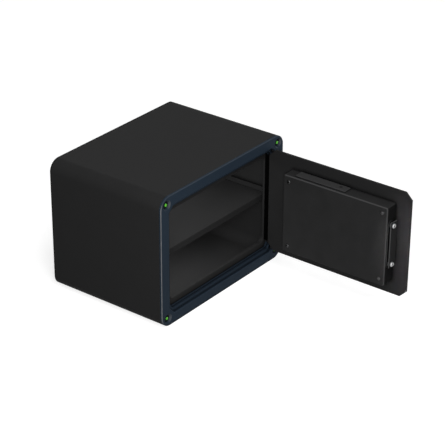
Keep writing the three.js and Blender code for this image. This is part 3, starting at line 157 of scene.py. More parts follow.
class ShaderTree:
    """The node tree of a material or of the surroundings, filled by one method."""

    # Samples and gain of the ambient occlusion that paints shade into gaps and corners
    painted_shade_samples = 6
    painted_shade_gain = 1.5
    mix_share, mix_first, mix_second, mix_result = 0, 6, 7, 2

    def __init__(self, name: str, store: bpy.types.bpy_prop_collection | None = None) -> None:
        """Starts an empty tree.

        Args:
            name: The material's name.
            store: Where the tree's owner is kept. The materials, if not given.
        """
        self.owner = (bpy.data.materials if store is None else store).new(name)
        self.owner.use_nodes = True
        self.nodes = self.owner.node_tree.nodes
        self.links = self.owner.node_tree.links
        self.nodes.clear()
        self._place: bpy.types.NodeSocket | None = None

    def node(self, kind: str, settings: dict | None = None, inputs: dict | None = None) -> bpy.types.Node:
        """Adds a node.

        Args:
            kind: The node's type.
            settings: Its properties, set first.
            inputs: Values or links by socket name or number.

        Returns:
            The new node.
        """
        made = self.nodes.new(kind)
        for key, value in (settings or {}).items():
            setattr(made, key, value)
        for key, value in (inputs or {}).items():
            socket = made.inputs[key]
            if isinstance(value, Val):
                value = value.socket
            if isinstance(value, bpy.types.NodeSocket):
                self.links.new(value, socket)
            else:
                socket.default_value = value
        return made

    def place(self) -> bpy.types.NodeSocket:
        """The object's own coordinates, in metres."""
        if self._place is None:
            self._place = self.node("ShaderNodeTexCoord").outputs["Object"]
        return self._place

    def noise(
        self, size: float, detail: float = 3.0, roughness: float = 0.5, stretch: Axes = (1.0, 1.0, 1.0),
    ) -> Val:
        """Noise whose lumps are about one size across.

        Args:
            size: The size of a lump, in metres.
            detail: The number of finer layers.
            roughness: The weight of the finer layers.
            stretch: Scale of the pattern along X, Y and Z.

        Returns:
            The noise, from zero to one.
        """
        mapped = self.node("ShaderNodeMapping", {}, {"Vector": self.place(), "Scale": stretch})
        made = self.node(
            "ShaderNodeTexNoise", {},
            {"Vector": mapped.outputs[0], "Scale": 1 / size, "Detail": detail, "Roughness": roughness},
        )
        return Val(self, made.outputs[0])

    def axis(self, name: str) -> Val:
        """One of the object's own coordinates.

        Args:
            name: X, Y or Z.

        Returns:
            The coordinate, in metres.
        """
        split = self.node("ShaderNodeSeparateXYZ", {}, {0: self.place()})
        return Val(self, split.outputs[name])

    def edge(self) -> Val:
        """One on the rounded edges of a finished piece, and zero elsewhere."""
        made = self.node("ShaderNodeAttribute", {"attribute_name": "edge"})
        return Val(self, made.outputs["Fac"])

    def painted_crease_shade(self, reach: float) -> Val:
        """Painted shade by ambient occlusion: one deep in gaps and corners, where shade falls, and zero on
        open faces.

        Args:
            reach: How far off a neighbouring surface counts, in metres.

        Returns:
            The share of painted shade.
        """
        made = self.node("ShaderNodeAmbientOcclusion", {"samples": self.painted_shade_samples}, {"Distance": reach})
        return ((1.0 - Val(self, made.outputs["AO"])) * self.painted_shade_gain).clipped()

    def mixed(self, amount: Val | float, first: Colour | Val, second: Colour | Val) -> Val:
        """A mix of two colours.

        Args:
            amount: The share of the second.
            first: The first colour.
            second: The second colour.

        Returns:
            The mixed colour.
        """
        sockets = {self.mix_share: amount}
        for number, colour in ((self.mix_first, first), (self.mix_second, second)):
            sockets[number] = colour if isinstance(colour, Val) else (*colour, 1.0)
        made = self.node("ShaderNodeMix", {"data_type": "RGBA"}, sockets)
        return Val(self, made.outputs[self.mix_result])

    def bump(self, height: Val, depth: float) -> Val:
        """A bump.

        Args:
            height: The height, from zero to one.
            depth: What a height of one stands for, in metres.

        Returns:
            The bent normal.
        """
        made = self.node("ShaderNodeBump", {}, {"Height": height, "Distance": depth, "Strength": 1.0})
        return Val(self, made.outputs[0])

    def surface(self, sockets: dict) -> bpy.types.Material:
        """Closes the tree with one surface.

        Args:
            sockets: Values or links of the surface's sockets.

        Returns:
            The finished material.
        """
        shader = self.node("ShaderNodeBsdfPrincipled", {}, sockets)
        self.node("ShaderNodeOutputMaterial", {}, {"Surface": shader.outputs[0]})
        return self.owner

    def seen_mix(self, hidden: bpy.types.Node, seen: bpy.types.Node, output: str) -> None:
        """Closes a stage tree, whose look differs from the light that it throws on the object.

        Args:
            hidden: The shader that lights the object.
            seen: The shader that the camera and reflections meet.
            output: The type of the output node.
        """
        path = self.node("ShaderNodeLightPath")
        rays = [Val(self, path.outputs[f"Is {kind} Ray"]) for kind in ("Camera", "Glossy", "Transmission")]
        amount = (rays[0] + rays[1] + rays[2]).clipped()
        both = self.node("ShaderNodeMixShader", {}, {0: amount, 1: hidden.outputs[0], 2: seen.outputs[0]})
        self.node(output, {}, {"Surface": both.outputs[0]})


# Finishes. Sizes, depths and reaches are metres, and a swing is how far noise moves the roughness


@dataclass(frozen=True)
class PowderCoat:
    """A baked coat with a fine pebbled skin, edges lighter by wear and a painted highlight, and painted shade
    in creases.
    """

    name: str = "black_powder_coat"
    colour: Colour = (0.0200, 0.0200, 0.0202)
    patch: Colour = (0.0235, 0.0235, 0.0237)
    # Colour of the lighter edges: edge wear and a painted highlight
    rub_and_highlight: Colour = (0.05, 0.05, 0.052)
    # Colour of the painted shade in gaps and corners
    painted_shade: Colour = (0.002, 0.002, 0.002)
    roughness: float = 0.52
    swing: float = 0.12
    specular: float = 0.02
    pebble_size: float = 0.0007
    patch_size: float = 0.045
    rub_and_highlight_size: float = 0.006
    depth: float = 0.00006
    reach: float = 0.010

    def material(self) -> bpy.types.Material:
        """Makes the material."""
        tree = ShaderTree(self.name)
        pebbles = tree.noise(self.pebble_size, detail=2.0)
        patches = tree.noise(self.patch_size, detail=4.0)
        # Lighter, glossier edges broken up by noise: edge wear and a painted highlight
        polish_and_highlight = (tree.edge() * tree.noise(self.rub_and_highlight_size)).clipped()
        skin = tree.mixed(polish_and_highlight, self.skin(tree, patches), self.rub_and_highlight)
        return tree.surface({
            # Painted shade: ambient occlusion darkens creases toward the painted shade colour
            "Base Color": tree.mixed(tree.painted_crease_shade(self.reach), skin, self.painted_shade),
            "Roughness": (patches * self.swing + self.roughness - polish_and_highlight * self.swing).clipped(),
            "Specular IOR Level": self.specular,
            "Normal": tree.bump(pebbles, self.depth),
        })

    def skin(self, tree: ShaderTree, patches: Val) -> Val:
        """The colour of the coat away from edges and creases.

        Args:
            tree: The material's tree.
            patches: The slow variation of the coat.

        Returns:
            The colour.
        """
        return tree.mixed(patches, self.colour, self.patch)


@dataclass(frozen=True)
class ShellCoat(PowderCoat):
    """The body's coat, with dark painted shade on the hidden pocket beside the hinge.

    The pocket lies between inner and outer along X, in front of back along Y and within half of mid_z.
    """

    # Colour of the painted shade in the pocket beside the hinge
    painted_pocket_shade: Colour = (0.0015, 0.0015, 0.0015)
    inner: float = 0.160
    outer: float = 0.1742
    back: float = -0.0848
    mid_z: float = 0.125
    half: float = 0.105

    def skin(self, tree: ShaderTree, patches: Val) -> Val:
        """The colour of the coat, with its strip of painted shade.

        Args:
            tree: The material's tree.
            patches: The slow variation of the coat.

        Returns:
            The colour.
        """
        across, up = tree.axis("X"), tree.axis("Z") - self.mid_z
        wall = across.above(self.inner) * (self.outer - across).above(0.0)
        pocket = wall * (self.half ** 2 - up * up).above(0.0) * (self.back - tree.axis("Y")).above(0.0)
        # Painted shade: the pocket beside the hinge, behind the collar, is painted near black
        return tree.mixed(pocket, super().skin(tree, patches), self.painted_pocket_shade)


@dataclass(frozen=True)
class Moulding:
    """A moulded plastic with a fine grain, slightly polished edges that carry a painted highlight, and
    painted shade in creases.
    """

    name: str
    colour: Colour
    # Lighter colour: the random flow tone, and the painted highlight on edges
    flow_tone_and_highlight: Colour
    roughness: float = 0.45
    specular: float = 0.35
    painted_shade: Colour = (0.002, 0.002, 0.002)
    swing: float = 0.1
    flow_size: float = 0.03
    flow_shine: float = 0.2
    polish: float = 0.9
    polish_gloss: float = 0.12
    grain_size: float = 0.0005
    depth: float = 0.00003
    reach: float = 0.006

    def material(self) -> bpy.types.Material:
        """Makes the material."""
        tree = ShaderTree(self.name)
        grain = tree.noise(self.grain_size, detail=2.0)
        flow = tree.noise(self.flow_size)
        # Polished edges: glossier, and painted with a highlight toward the lighter colour
        polish_and_highlight = (tree.edge() * self.polish).clipped()
        return tree.surface({
            # Painted shade in creases
            "Base Color": tree.mixed(tree.painted_crease_shade(self.reach), self.skin(tree, flow, polish_and_highlight), self.painted_shade),
            "Roughness": (flow * self.swing + self.roughness - polish_and_highlight * self.polish_gloss).clipped(),
            "Specular IOR Level": self.specular,
            "Normal": tree.bump(grain, self.depth),
        })

    def skin(self, tree: ShaderTree, flow: Val, polish_and_highlight: Val) -> Val:
        """The colour of the plastic, with its painted edge highlight.

        Args:
            tree: The material's tree.
            flow: The slow variation of the moulding.
            polish_and_highlight: The share of polished edge, which also carries the painted highlight.

        Returns:
            The colour.
        """
        # Polished edges take the painted highlight colour, over the flow tone
        return tree.mixed(polish_and_highlight, tree.mixed(flow * self.flow_shine, self.colour, self.flow_tone_and_highlight), self.flow_tone_and_highlight)


@dataclass(frozen=True)
class RimMoulding(Moulding):
    """The front frame's plastic, with a painted highlight along its upright left rim.

    The painted highlight grows from inner to outer along X. The cap recesses lie cap_x off the middle
    and cap_z off mid_z. Their floors carry painted shade, and their right flanks a painted highlight
    crescent.
    """

    # Colour of the painted highlight on the left rim
    painted_rim_highlight: Colour = (0.160, 0.166, 0.175)
    rim_highlight_size: float = 0.012
    rim_highlight_least: float = 0.5
    inner: float = -0.1700
    outer: float = -0.1745
    cap_x: float = 0.159
    cap_z: float = 0.110
    mid_z: float = 0.125
    floor_radius: float = 0.0066
    rim_radius: float = 0.0100
    floor_shade: float = 0.75
    crescent_start: float = 0.35
    crescent_share: float = 0.55

    def skin(self, tree: ShaderTree, flow: Val, polish_and_highlight: Val) -> Val:
        """The colour of the plastic, with the painted rim highlight and the painted shade and highlight of
        the cap recesses.

        Args:
            tree: The material's tree.
            flow: The slow variation of the moulding.
            polish_and_highlight: The share of polished edge, which also carries the painted highlight.

        Returns:
            The colour.
        """
        across, up = tree.axis("X"), tree.axis("Z") - self.mid_z
        # Painted highlight along the upright left rim, growing toward the outer edge and broken up by noise
        reach = ((across - self.inner) / (self.outer - self.inner)).clipped()
        rim_highlight = polish_and_highlight * reach * (tree.noise(self.rim_highlight_size) + self.rim_highlight_least)
        # Painted shade on the cap recess floors, and a painted highlight crescent on their right flanks
        right = across - across.sign() * self.cap_x
        above = up - up.sign() * self.cap_z
        radius = (right * right + above * above) ** 0.5
        shaded_hollow = 1.0 - radius.above(self.floor_radius)
        flank = radius.above(self.floor_radius) * (1.0 - radius.above(self.rim_radius))
        painted_crescent = flank * (right / radius - self.crescent_start).clipped() * self.crescent_share
        skin = tree.mixed(shaded_hollow * self.floor_shade, super().skin(tree, flow, polish_and_highlight), self.painted_shade)
        return tree.mixed((rim_highlight + painted_crescent).clipped(), skin, self.painted_rim_highlight)


@dataclass(frozen=True)
class CoverMoulding(Moulding):
    """The lock cover's plastic, with painted shade on the side that the bolts come out of."""

    side: float = -0.3878
    share: float = 0.72

    def skin(self, tree: ShaderTree, flow: Val, polish_and_highlight: Val) -> Val:
        """The colour of the plastic, with painted shade on the bolt side.

        Args:
            tree: The material's tree.
            flow: The slow variation of the moulding.
            polish_and_highlight: The share of polished edge, which also carries the painted highlight.

        Returns:
            The colour.
        """
        # Painted shade on the bolt side, off the polished edges
        painted_side_shade = (self.side - tree.axis("Y")).above(0.0) * (1.0 - polish_and_highlight) * self.share
        return tree.mixed(painted_side_shade, super().skin(tree, flow, polish_and_highlight), self.painted_shade)


@dataclass(frozen=True)
class LidMoulding(Moulding):
    """The battery lid's plastic, with painted shade in its thumb hollow."""

    top: float = 0.2038
    hollow: float = 0.0004
    share: float = 0.5

    def skin(self, tree: ShaderTree, flow: Val, polish_and_highlight: Val) -> Val:
        """The colour of the plastic, with painted shade below the lid's top.

        Args:
            tree: The material's tree.
            flow: The slow variation of the moulding.
            polish_and_highlight: The share of polished edge, which also carries the painted highlight.

        Returns:
            The colour.
        """
        # Painted shade in the thumb hollow
        shaded_hollow = ((self.top - tree.axis("Z")) / self.hollow).clipped() * self.share
        return tree.mixed(shaded_hollow, super().skin(tree, flow, polish_and_highlight), self.painted_shade)


@dataclass(frozen=True)
class GuideMoulding(Moulding):
    """The bolt guide's plastic: near black as painted shade, with its own grey on the plate that stands off
    the cover.
    """

    plate: float = -0.3929
    outside: Colour = (0.0215, 0.0215, 0.0218)

    def skin(self, tree: ShaderTree, flow: Val, polish_and_highlight: Val) -> Val:
        """The colour of the plastic: its own grey on the outer plate, painted shade elsewhere.

        Args:
            tree: The material's tree.
            flow: The slow variation of the moulding.
            polish_and_highlight: The share of polished edge, which also carries the painted highlight.

        Returns:
            The colour.
        """
        # Painted shade: all but the outer plate keeps the near-black colour; the plate's edges keep the
        # painted highlight
        outer = (self.plate - tree.axis("Y")).above(0.0) * (1.0 - polish_and_highlight)
        return tree.mixed(outer, super().skin(tree, flow, polish_and_highlight), self.outside)


@dataclass(frozen=True)
class Plating:
    """A plated or bare metal with fine lines, small stains and painted shade in creases."""

    name: str
    colour: Colour
    stain: Colour
    roughness: float
    lines: Axes = (1.0, 1.0, 1.0)
    line_size: float = 0.0006
    line_swing: float = 0.12
    stain_size: float = 0.008
    stain_swing: float = 0.1
    stain_share: float = 0.5
    fineness: float = 0.6
    polish: float = 0.1
    depth: float = 0.000004
    metallic: float = 1.0
    reach: float = 0.003
    painted_shade: Colour = (0.01, 0.01, 0.01)

    def material(self) -> bpy.types.Material:
        """Makes the material."""
        tree = ShaderTree(self.name)
        lines = tree.noise(self.line_size, roughness=self.fineness, stretch=self.lines)
        stains = tree.noise(self.stain_size, detail=4.0, roughness=self.fineness)
        grain = lines * self.line_swing + stains * self.stain_swing
        return tree.surface({
            # Painted shade in creases
            "Base Color": tree.mixed(tree.painted_crease_shade(self.reach), self.tone(tree, stains), self.painted_shade),
            "Metallic": self.metallic,
            "Roughness": (grain + (self.roughness - self.polish)).clipped(),
            "Normal": tree.bump(lines, self.depth),
        })

    def tone(self, tree: ShaderTree, stains: Val) -> Val:
        """The colour of the metal away from the painted crease shade.

        Args:
            tree: The material's tree.
            stains: The slow variation of the metal.

        Returns:
            The colour.
        """
        return tree.mixed(stains * self.stain_share, self.colour, self.stain)


@dataclass(frozen=True)
class BoltPlating(Plating):
    """The bolts' plating, with black painted shade in the dish of each free end.

    The bolts run at middle_x, half_pitch above and below middle_z. A dish reaches back from dish_start.
    """

    middle_x: float = 0.1269
    middle_z: float = 0.12875
    half_pitch: float = 0.03775
    dish_radius: float = 0.0023
    dish_start: float = -0.3976

    def tone(self, tree: ShaderTree, stains: Val) -> Val:
        """The colour of the metal, black with painted shade in the dish.

        Args:
            tree: The material's tree.
            stains: The slow variation of the metal.

        Returns:
            The colour.
        """
        # Painted shade: the dish in each bolt's free end is painted black
        across, up = tree.axis("X") - self.middle_x, tree.axis("Z") - self.middle_z
        along = up - up.sign() * self.half_pitch
        inside = (self.dish_radius ** 2 - across * across - along * along).above(0.0)
        painted_dish_shade = inside * (tree.axis("Y") - self.dish_start).above(0.0)
        return tree.mixed(painted_dish_shade, super().tone(tree, stains), self.painted_shade)


@dataclass(frozen=True)
class Laminate:
    """A circuit board's lacquer over copper tracks, which wander side by side in some places."""

    name: str = "board_lacquer"
    lacquer: Colour = (0.012, 0.085, 0.035)
    track: Colour = (0.03, 0.17, 0.06)
    roughness: float = 0.38
    pitch: float = 0.0024
    bend_size: float = 0.03
    bend: float = 14.0
    track_from: float = 0.25
    field_size: float = 0.02
    field_from: float = 0.47
    depth: float = 0.00003

    def material(self) -> bpy.types.Material:
        """Makes the material."""
        tree = ShaderTree(self.name)
        bend = tree.noise(self.bend_size, detail=1.0) * self.bend
        stripes = (tree.axis("Z") * (2 * math.pi / self.pitch) + bend).wave().above(self.track_from)
        tracks = stripes * tree.noise(self.field_size, detail=1.0).above(self.field_from)
        return tree.surface({
            "Base Color": tree.mixed(tracks, self.lacquer, self.track),
            "Roughness": self.roughness,
            "Normal": tree.bump(tracks, self.depth),
        })


@dataclass(frozen=True)
class CellSleeve:
    """A battery cell's sleeve: two plain bands of colour along its length, lightly scuffed.

    Cells lie end to end from start, a pitch apart, and the band takes the first share of each.
    """

    name: str = "cell_sleeve"
    band: Colour = (0.35, 0.16, 0.03)
    rest: Colour = (0.025, 0.027, 0.032)
    scuff: Colour = (0.2, 0.2, 0.2)
    start: float = -0.2938
    pitch: float = 0.0505
    share: float = 0.36
    scuff_size: float = 0.004
    scuff_share: float = 0.15
    roughness: float = 0.25
    swing: float = 0.2
    metallic: float = 0.3

    def material(self) -> bpy.types.Material:
        """Makes the material."""
        tree = ShaderTree(self.name)
        scuff = tree.noise(self.scuff_size, detail=4.0)
        along = ((tree.axis("Y") - self.start) / self.pitch).fraction()
        tone = tree.mixed(along.above(self.share), self.band, self.rest)
        return tree.surface({
            "Base Color": tree.mixed(scuff * self.scuff_share, tone, self.scuff),
            "Roughness": (scuff * self.swing + self.roughness).clipped(),
            "Metallic": self.metallic,
        })


@dataclass(frozen=True)
class Lens:
    """A small diffusing lamp lens with a slight milky cloud."""

    name: str = "lamp_lens"
    colour: Colour = (0.35, 0.5, 0.33)
    milk: Colour = (0.6, 0.7, 0.58)
    cloud_size: float = 0.0015
    cloud_share: float = 0.3
    roughness: float = 0.15
    swing: float = 0.1
    scatter: float = 0.2

    def material(self) -> bpy.types.Material:
        """Makes the material."""
        tree = ShaderTree(self.name)
        cloud = tree.noise(self.cloud_size, detail=2.0)
        return tree.surface({
            "Base Color": tree.mixed(cloud * self.cloud_share, self.colour, self.milk),
            "Roughness": (cloud * self.swing + self.roughness).clipped(),
            "Subsurface Weight": self.scatter,
        })


class Finish(Enum):
    """The finishes of the safe."""

    COAT = PowderCoat()
    SHELL_COAT = ShellCoat("shell_powder_coat")
    DOOR_COAT = PowderCoat("door_powder_coat", (0.0195, 0.0195, 0.0197), reach=0.008)
    SHELF_COAT = PowderCoat("shelf_powder_coat", reach=0.002)
    NAVY = RimMoulding("navy_moulding", (0.0162, 0.0260, 0.0395), (0.036, 0.047, 0.062), 0.42, 0.02)
    GREEN = Moulding("green_cap", (0.075, 0.46, 0.010), (0.2, 0.8, 0.05), 0.3, 0.4)
    BLACK = Moulding("black_moulding", (0.0185, 0.0185, 0.0187), (0.085, 0.085, 0.086), 0.5, 0.02)
    COVER = CoverMoulding("cover_moulding", (0.0222, 0.0222, 0.0224), (0.066, 0.066, 0.067), 0.5, 0.02)
    LID = LidMoulding("lid_moulding", (0.0425, 0.0425, 0.0430), (0.075, 0.075, 0.076), 0.42, 0.03)
    KEY = Moulding("key_moulding", (0.04, 0.04, 0.043), (0.08, 0.08, 0.085), 0.45, 0.35)
    # The guide's near-black colour is painted shade, and its light colour paints the edge highlight
    GUIDE = GuideMoulding("guide_moulding", (0.0035, 0.0035, 0.0036), (0.095, 0.095, 0.096), 0.45, 0.02)
    RUBBER = Moulding("black_rubber", (0.008, 0.008, 0.0085), (0.02, 0.02, 0.02), 0.7, 0.25)
    WHITE = Moulding("white_ink", (0.72, 0.72, 0.70), (0.8, 0.8, 0.8), 0.5, 0.3)
    CHROME = Plating("bright_plating", (0.62, 0.63, 0.64), (0.4, 0.4, 0.4), 0.16, (0.2, 1.0, 1.0))
    BOLT = BoltPlating(
        "bolt_plating", (0.62, 0.625, 0.63), (0.3, 0.3, 0.305), 0.30, (1.0, 0.2, 1.0), metallic=0.85,
    )
    SCREW = Plating("dark_plating", (0.07, 0.07, 0.072), (0.035, 0.035, 0.035), 0.36)
    OXIDE = Plating("blackened_steel", (0.022, 0.022, 0.023), (0.012, 0.012, 0.012), 0.45)
    ZINC = Plating("zinc_plating", (0.5, 0.51, 0.53), (0.38, 0.38, 0.37), 0.38)
    BRASS = Plating("plain_brass", (0.62, 0.44, 0.2), (0.45, 0.3, 0.14), 0.3)
    COPPER = Plating("wound_copper", (0.55, 0.24, 0.1), (0.35, 0.14, 0.06), 0.35, (1.0, 1.0, 8.0))
    BOARD = Laminate()
    CELL = CellSleeve()
    LENS = Lens()

    @cache
    def material(self) -> bpy.types.Material:
        """The finish's material, made once."""
        return self.value.material()


# Making pieces

BODY_OF = {node: body for body, nodes in frame["record"]["behaviour"]["bodies"].items() for node in nodes}


@dataclass(frozen=True)
class Edges:
    """How a piece's sharp edges are rounded.

    A face up to margin times the width, or up to narrow where that is more, counts as rounded edge in the
    finish.
    """

    width: float
    segments: int
    sharper_than: float = 35.0
    margin: float = 1.2
    narrow: float = 0.0


COATED = Edges(0.0004, 2)
SOFT = Edges(0.0003, 2)
FINE = Edges(0.0002, 1)
TINY = Edges(0.0001, 1)


def bevel(mesh: bmesh.types.BMesh, edges: list[bmesh.types.BMEdge], width: float, segments: int) -> None:
    """Rounds some edges.

    Args:
        mesh: The mesh, changed in place.
        edges: The edges.
        width: How much is taken off on each side of an edge.
        segments: The number of faces across the rounding.
    """
    bmesh.ops.bevel(
        mesh, geom=edges, offset=width, offset_type="OFFSET", affect="EDGES", segments=segments,
        profile=0.5, material=-1, clamp_overlap=True,
    )


def mark_edges(mesh: bmesh.types.BMesh, narrow: float) -> None:
    """Notes the narrow faces, which lie on rounded edges, in an attribute.

    Args:
        mesh: The mesh being made.
        narrow: The width below which a face counts as part of an edge.
    """
    layer = mesh.faces.layers.float.new("edge")
    for face in mesh.faces:
        longest = max(edge.calc_length() for edge in face.edges)
        face[layer] = 1.0 if face.calc_area() < narrow * longest else 0.0


def round_edges(mesh: bmesh.types.BMesh, edges: Edges) -> None:
    """Rounds every sharp edge of a closed mesh.

    Args:
        mesh: The mesh, changed in place.
        edges: The rounding.
    """
    limit = math.radians(edges.sharper_than)
    sharp = [edge for edge in mesh.edges if edge.is_manifold and edge.calc_face_angle(0.0) > limit]
    bevel(mesh, sharp, edges.width, edges.segments)
    mark_edges(mesh, max(edges.width * edges.margin, edges.narrow))


def merged_copy(node: str) -> bmesh.types.BMesh:
    """A closed mesh from a CAD node's loose triangles, with flat faces whole again.

    Args:
        node: The CAD node.

    Returns:
        The mesh.
    """
    mesh = bmesh.new()
    mesh.from_mesh(frame["nodes"][node].data)
    bmesh.ops.remove_doubles(mesh, verts=mesh.verts, dist=MERGE)
    bmesh.ops.dissolve_limit(
        mesh, angle_limit=math.radians(FLAT), verts=mesh.verts, edges=mesh.edges, delimit=set(),
    )
    return mesh


def turned(profile: Sequence[tuple[float, float]], steps: int) -> bmesh.types.BMesh:
    """A turned piece about Z.

    Args:
        profile: Radius and height of each corner, from the axis back to the axis.
        steps: The number of steps round the axis.

    Returns:
        The closed mesh.
    """
    mesh = bmesh.new()
    corners = [mesh.verts.new((radius, 0.0, height)) for radius, height in profile]
    run = [mesh.edges.new(pair) for pair in zip(corners, corners[1:])]
    bmesh.ops.spin(
        mesh, geom=corners + run, cent=(0.0, 0.0, 0.0), axis=(0.0, 0.0, 1.0), angle=2 * math.pi,
        steps=steps, use_merge=True,
    )
    bmesh.ops.remove_doubles(mesh, verts=mesh.verts, dist=MERGE_TIGHT)
    bmesh.ops.recalc_face_normals(mesh, faces=mesh.faces)
    return mesh


def put_in_order(mesh: bmesh.types.BMesh) -> None:
    """Puts corners, edges and faces in order of place, because extruding leaves them in a chance order.

    Places are rounded, so that mirrored elements don't change order over the last digit.

    Args:
        mesh: The mesh, changed in place.
    """
    places = (
        (mesh.verts, lambda corner: corner.co),
        (mesh.edges, lambda edge: edge.verts[0].co + edge.verts[1].co),
        (mesh.faces, lambda face: face.calc_center_median()),
    )
    for items, place in places:
        ordered = sorted(items, key=lambda item: [round(value, PLACE_DIGITS) for value in place(item)])
        for index, item in enumerate(ordered):
            item.index = index
        items.sort()


def placed(name: str, data: bpy.types.ID) -> bpy.types.Object:
    """Puts a new object into the scene.

    Args:
        name: The object's name.
        data: Its mesh, text, lamp or camera.

    Returns:
        The object.
    """
    item = bpy.data.objects.new(name, data)
    bpy.context.scene.collection.objects.link(item)
    return item


def finish_piece(
    name: str, mesh: bmesh.types.BMesh, node: str, finish: Finish, smooth: float = SMOOTH,
) -> bpy.types.Object:
    """Turns a mesh into a piece that rides on the body of a CAD node, with its finish's material.

    Args:
        name: The piece's name.
        mesh: The mesh, freed here.
        node: The CAD node that the piece belongs to.
        finish: The piece's finish.
        smooth: The angle, in degrees, above which an edge stays sharp.

    Returns:
        The piece.
    """
    data = bpy.data.meshes.new(name)
    for face in mesh.faces:
        face.smooth = True
    mesh.to_mesh(data)
    mesh.free()
    data.set_sharp_from_angle(angle=math.radians(smooth))
    data.materials.append(finish.material())
    piece = placed(name, data)
    weighted = piece.modifiers.new("even_normals", "WEIGHTED_NORMAL")
    weighted.keep_sharp = True
    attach(piece, BODY_OF[node])
    LOG.info("%s: %d faces, on %s", name, len(data.polygons), BODY_OF[node])
    return piece


def stand_in(node: str, mesh: bmesh.types.BMesh, finish: Finish, smooth: float = SMOOTH) -> None:
    """Makes a finer piece and lets it stand for a CAD node.

    Args:
        node: The CAD node.
        mesh: The finer mesh, freed here.
        finish: The piece's finish.
        smooth: The angle, in degrees, above which an edge stays sharp.
    """
    piece = finish_piece(f"fine_{node}", mesh, node, finish, smooth)
    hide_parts(node)


def fine_copy(node: str, finish: Finish, edges: Edges, smooth: float = SMOOTH) -> None:
    """Makes a finely edged piece from a CAD node and lets it stand for the node.

    Args:
        node: The CAD node.
        finish: The piece's finish.
        edges: The rounding of its edges.
        smooth: The angle, in degrees, above which an edge stays sharp.
    """
    mesh = merged_copy(node)
    round_edges(mesh, edges)
    stand_in(node, mesh, finish, smooth)


def dress_node(node: str, finish: Finish) -> None:
    """Gives a CAD node its finish and leaves its shape alone.

    Args:
        node: The CAD node.
        finish: The finish.
    """
    piece = frame["nodes"][node]
    piece.data.materials.clear()
    piece.data.materials.append(finish.material())
    LOG.info("%s: dressed, on %s", node, BODY_OF[node])


# Sub-assemblies. Angles are degrees, and a facing is the least part of a normal along one axis


@dataclass
class SubAssembly:
    """Pieces that are fitted together before they go into the safe."""

    def build(self) -> None:
        """Makes the pieces."""
        raise NotImplementedError


@dataclass
class Shell(SubAssembly):
    """The coated steel body with its collar, shelf and plugs."""

    edge: Edges = COATED
    fine: Edges = FINE
    folded: tuple[str, ...] = ("door_collar", "shelf_rail_left", "shelf_rail_right")
    plugs: tuple[str, ...] = ("base_plug_1", "base_plug_2", "back_plug_1", "back_plug_2")

    def build(self) -> None:
        """Makes the coated pieces and the plugs."""
        fine_copy("body_shell", Finish.SHELL_COAT, self.edge)
        fine_copy("back_panel", Finish.COAT, self.edge)
        for node in self.folded:
            fine_copy(node, Finish.COAT, self.fine)
        fine_copy("shelf", Finish.SHELF_COAT, self.fine)
        for node in self.plugs:
            fine_copy(node, Finish.RUBBER, self.fine)


@dataclass
class FrontFrame(SubAssembly):
    """The navy moulding round the door, with its green corner caps."""

    edge: Edges = Edges(0.0003, 2, narrow=0.00075)
    smooth: float = 40.0
    caps: tuple[str, ...] = ("corner_cap_1", "corner_cap_2", "corner_cap_3", "corner_cap_4")
    cap_edge: Edges = TINY
    cap_smooth: float = 60.0

    def build(self) -> None:
        """Makes the frame and the caps."""
        fine_copy("front_frame", Finish.NAVY, self.edge, self.smooth)
        for node in self.caps:
            fine_copy(node, Finish.GREEN, self.cap_edge, self.cap_smooth)


@dataclass
class Hinge(SubAssembly):
    """The two hinge pins."""

    pins: tuple[str, ...] = ("hinge_pin_lower", "hinge_pin_upper")

    def build(self) -> None:
        """Dresses the pins."""
        for node in self.pins:
            dress_node(node, Finish.OXIDE)


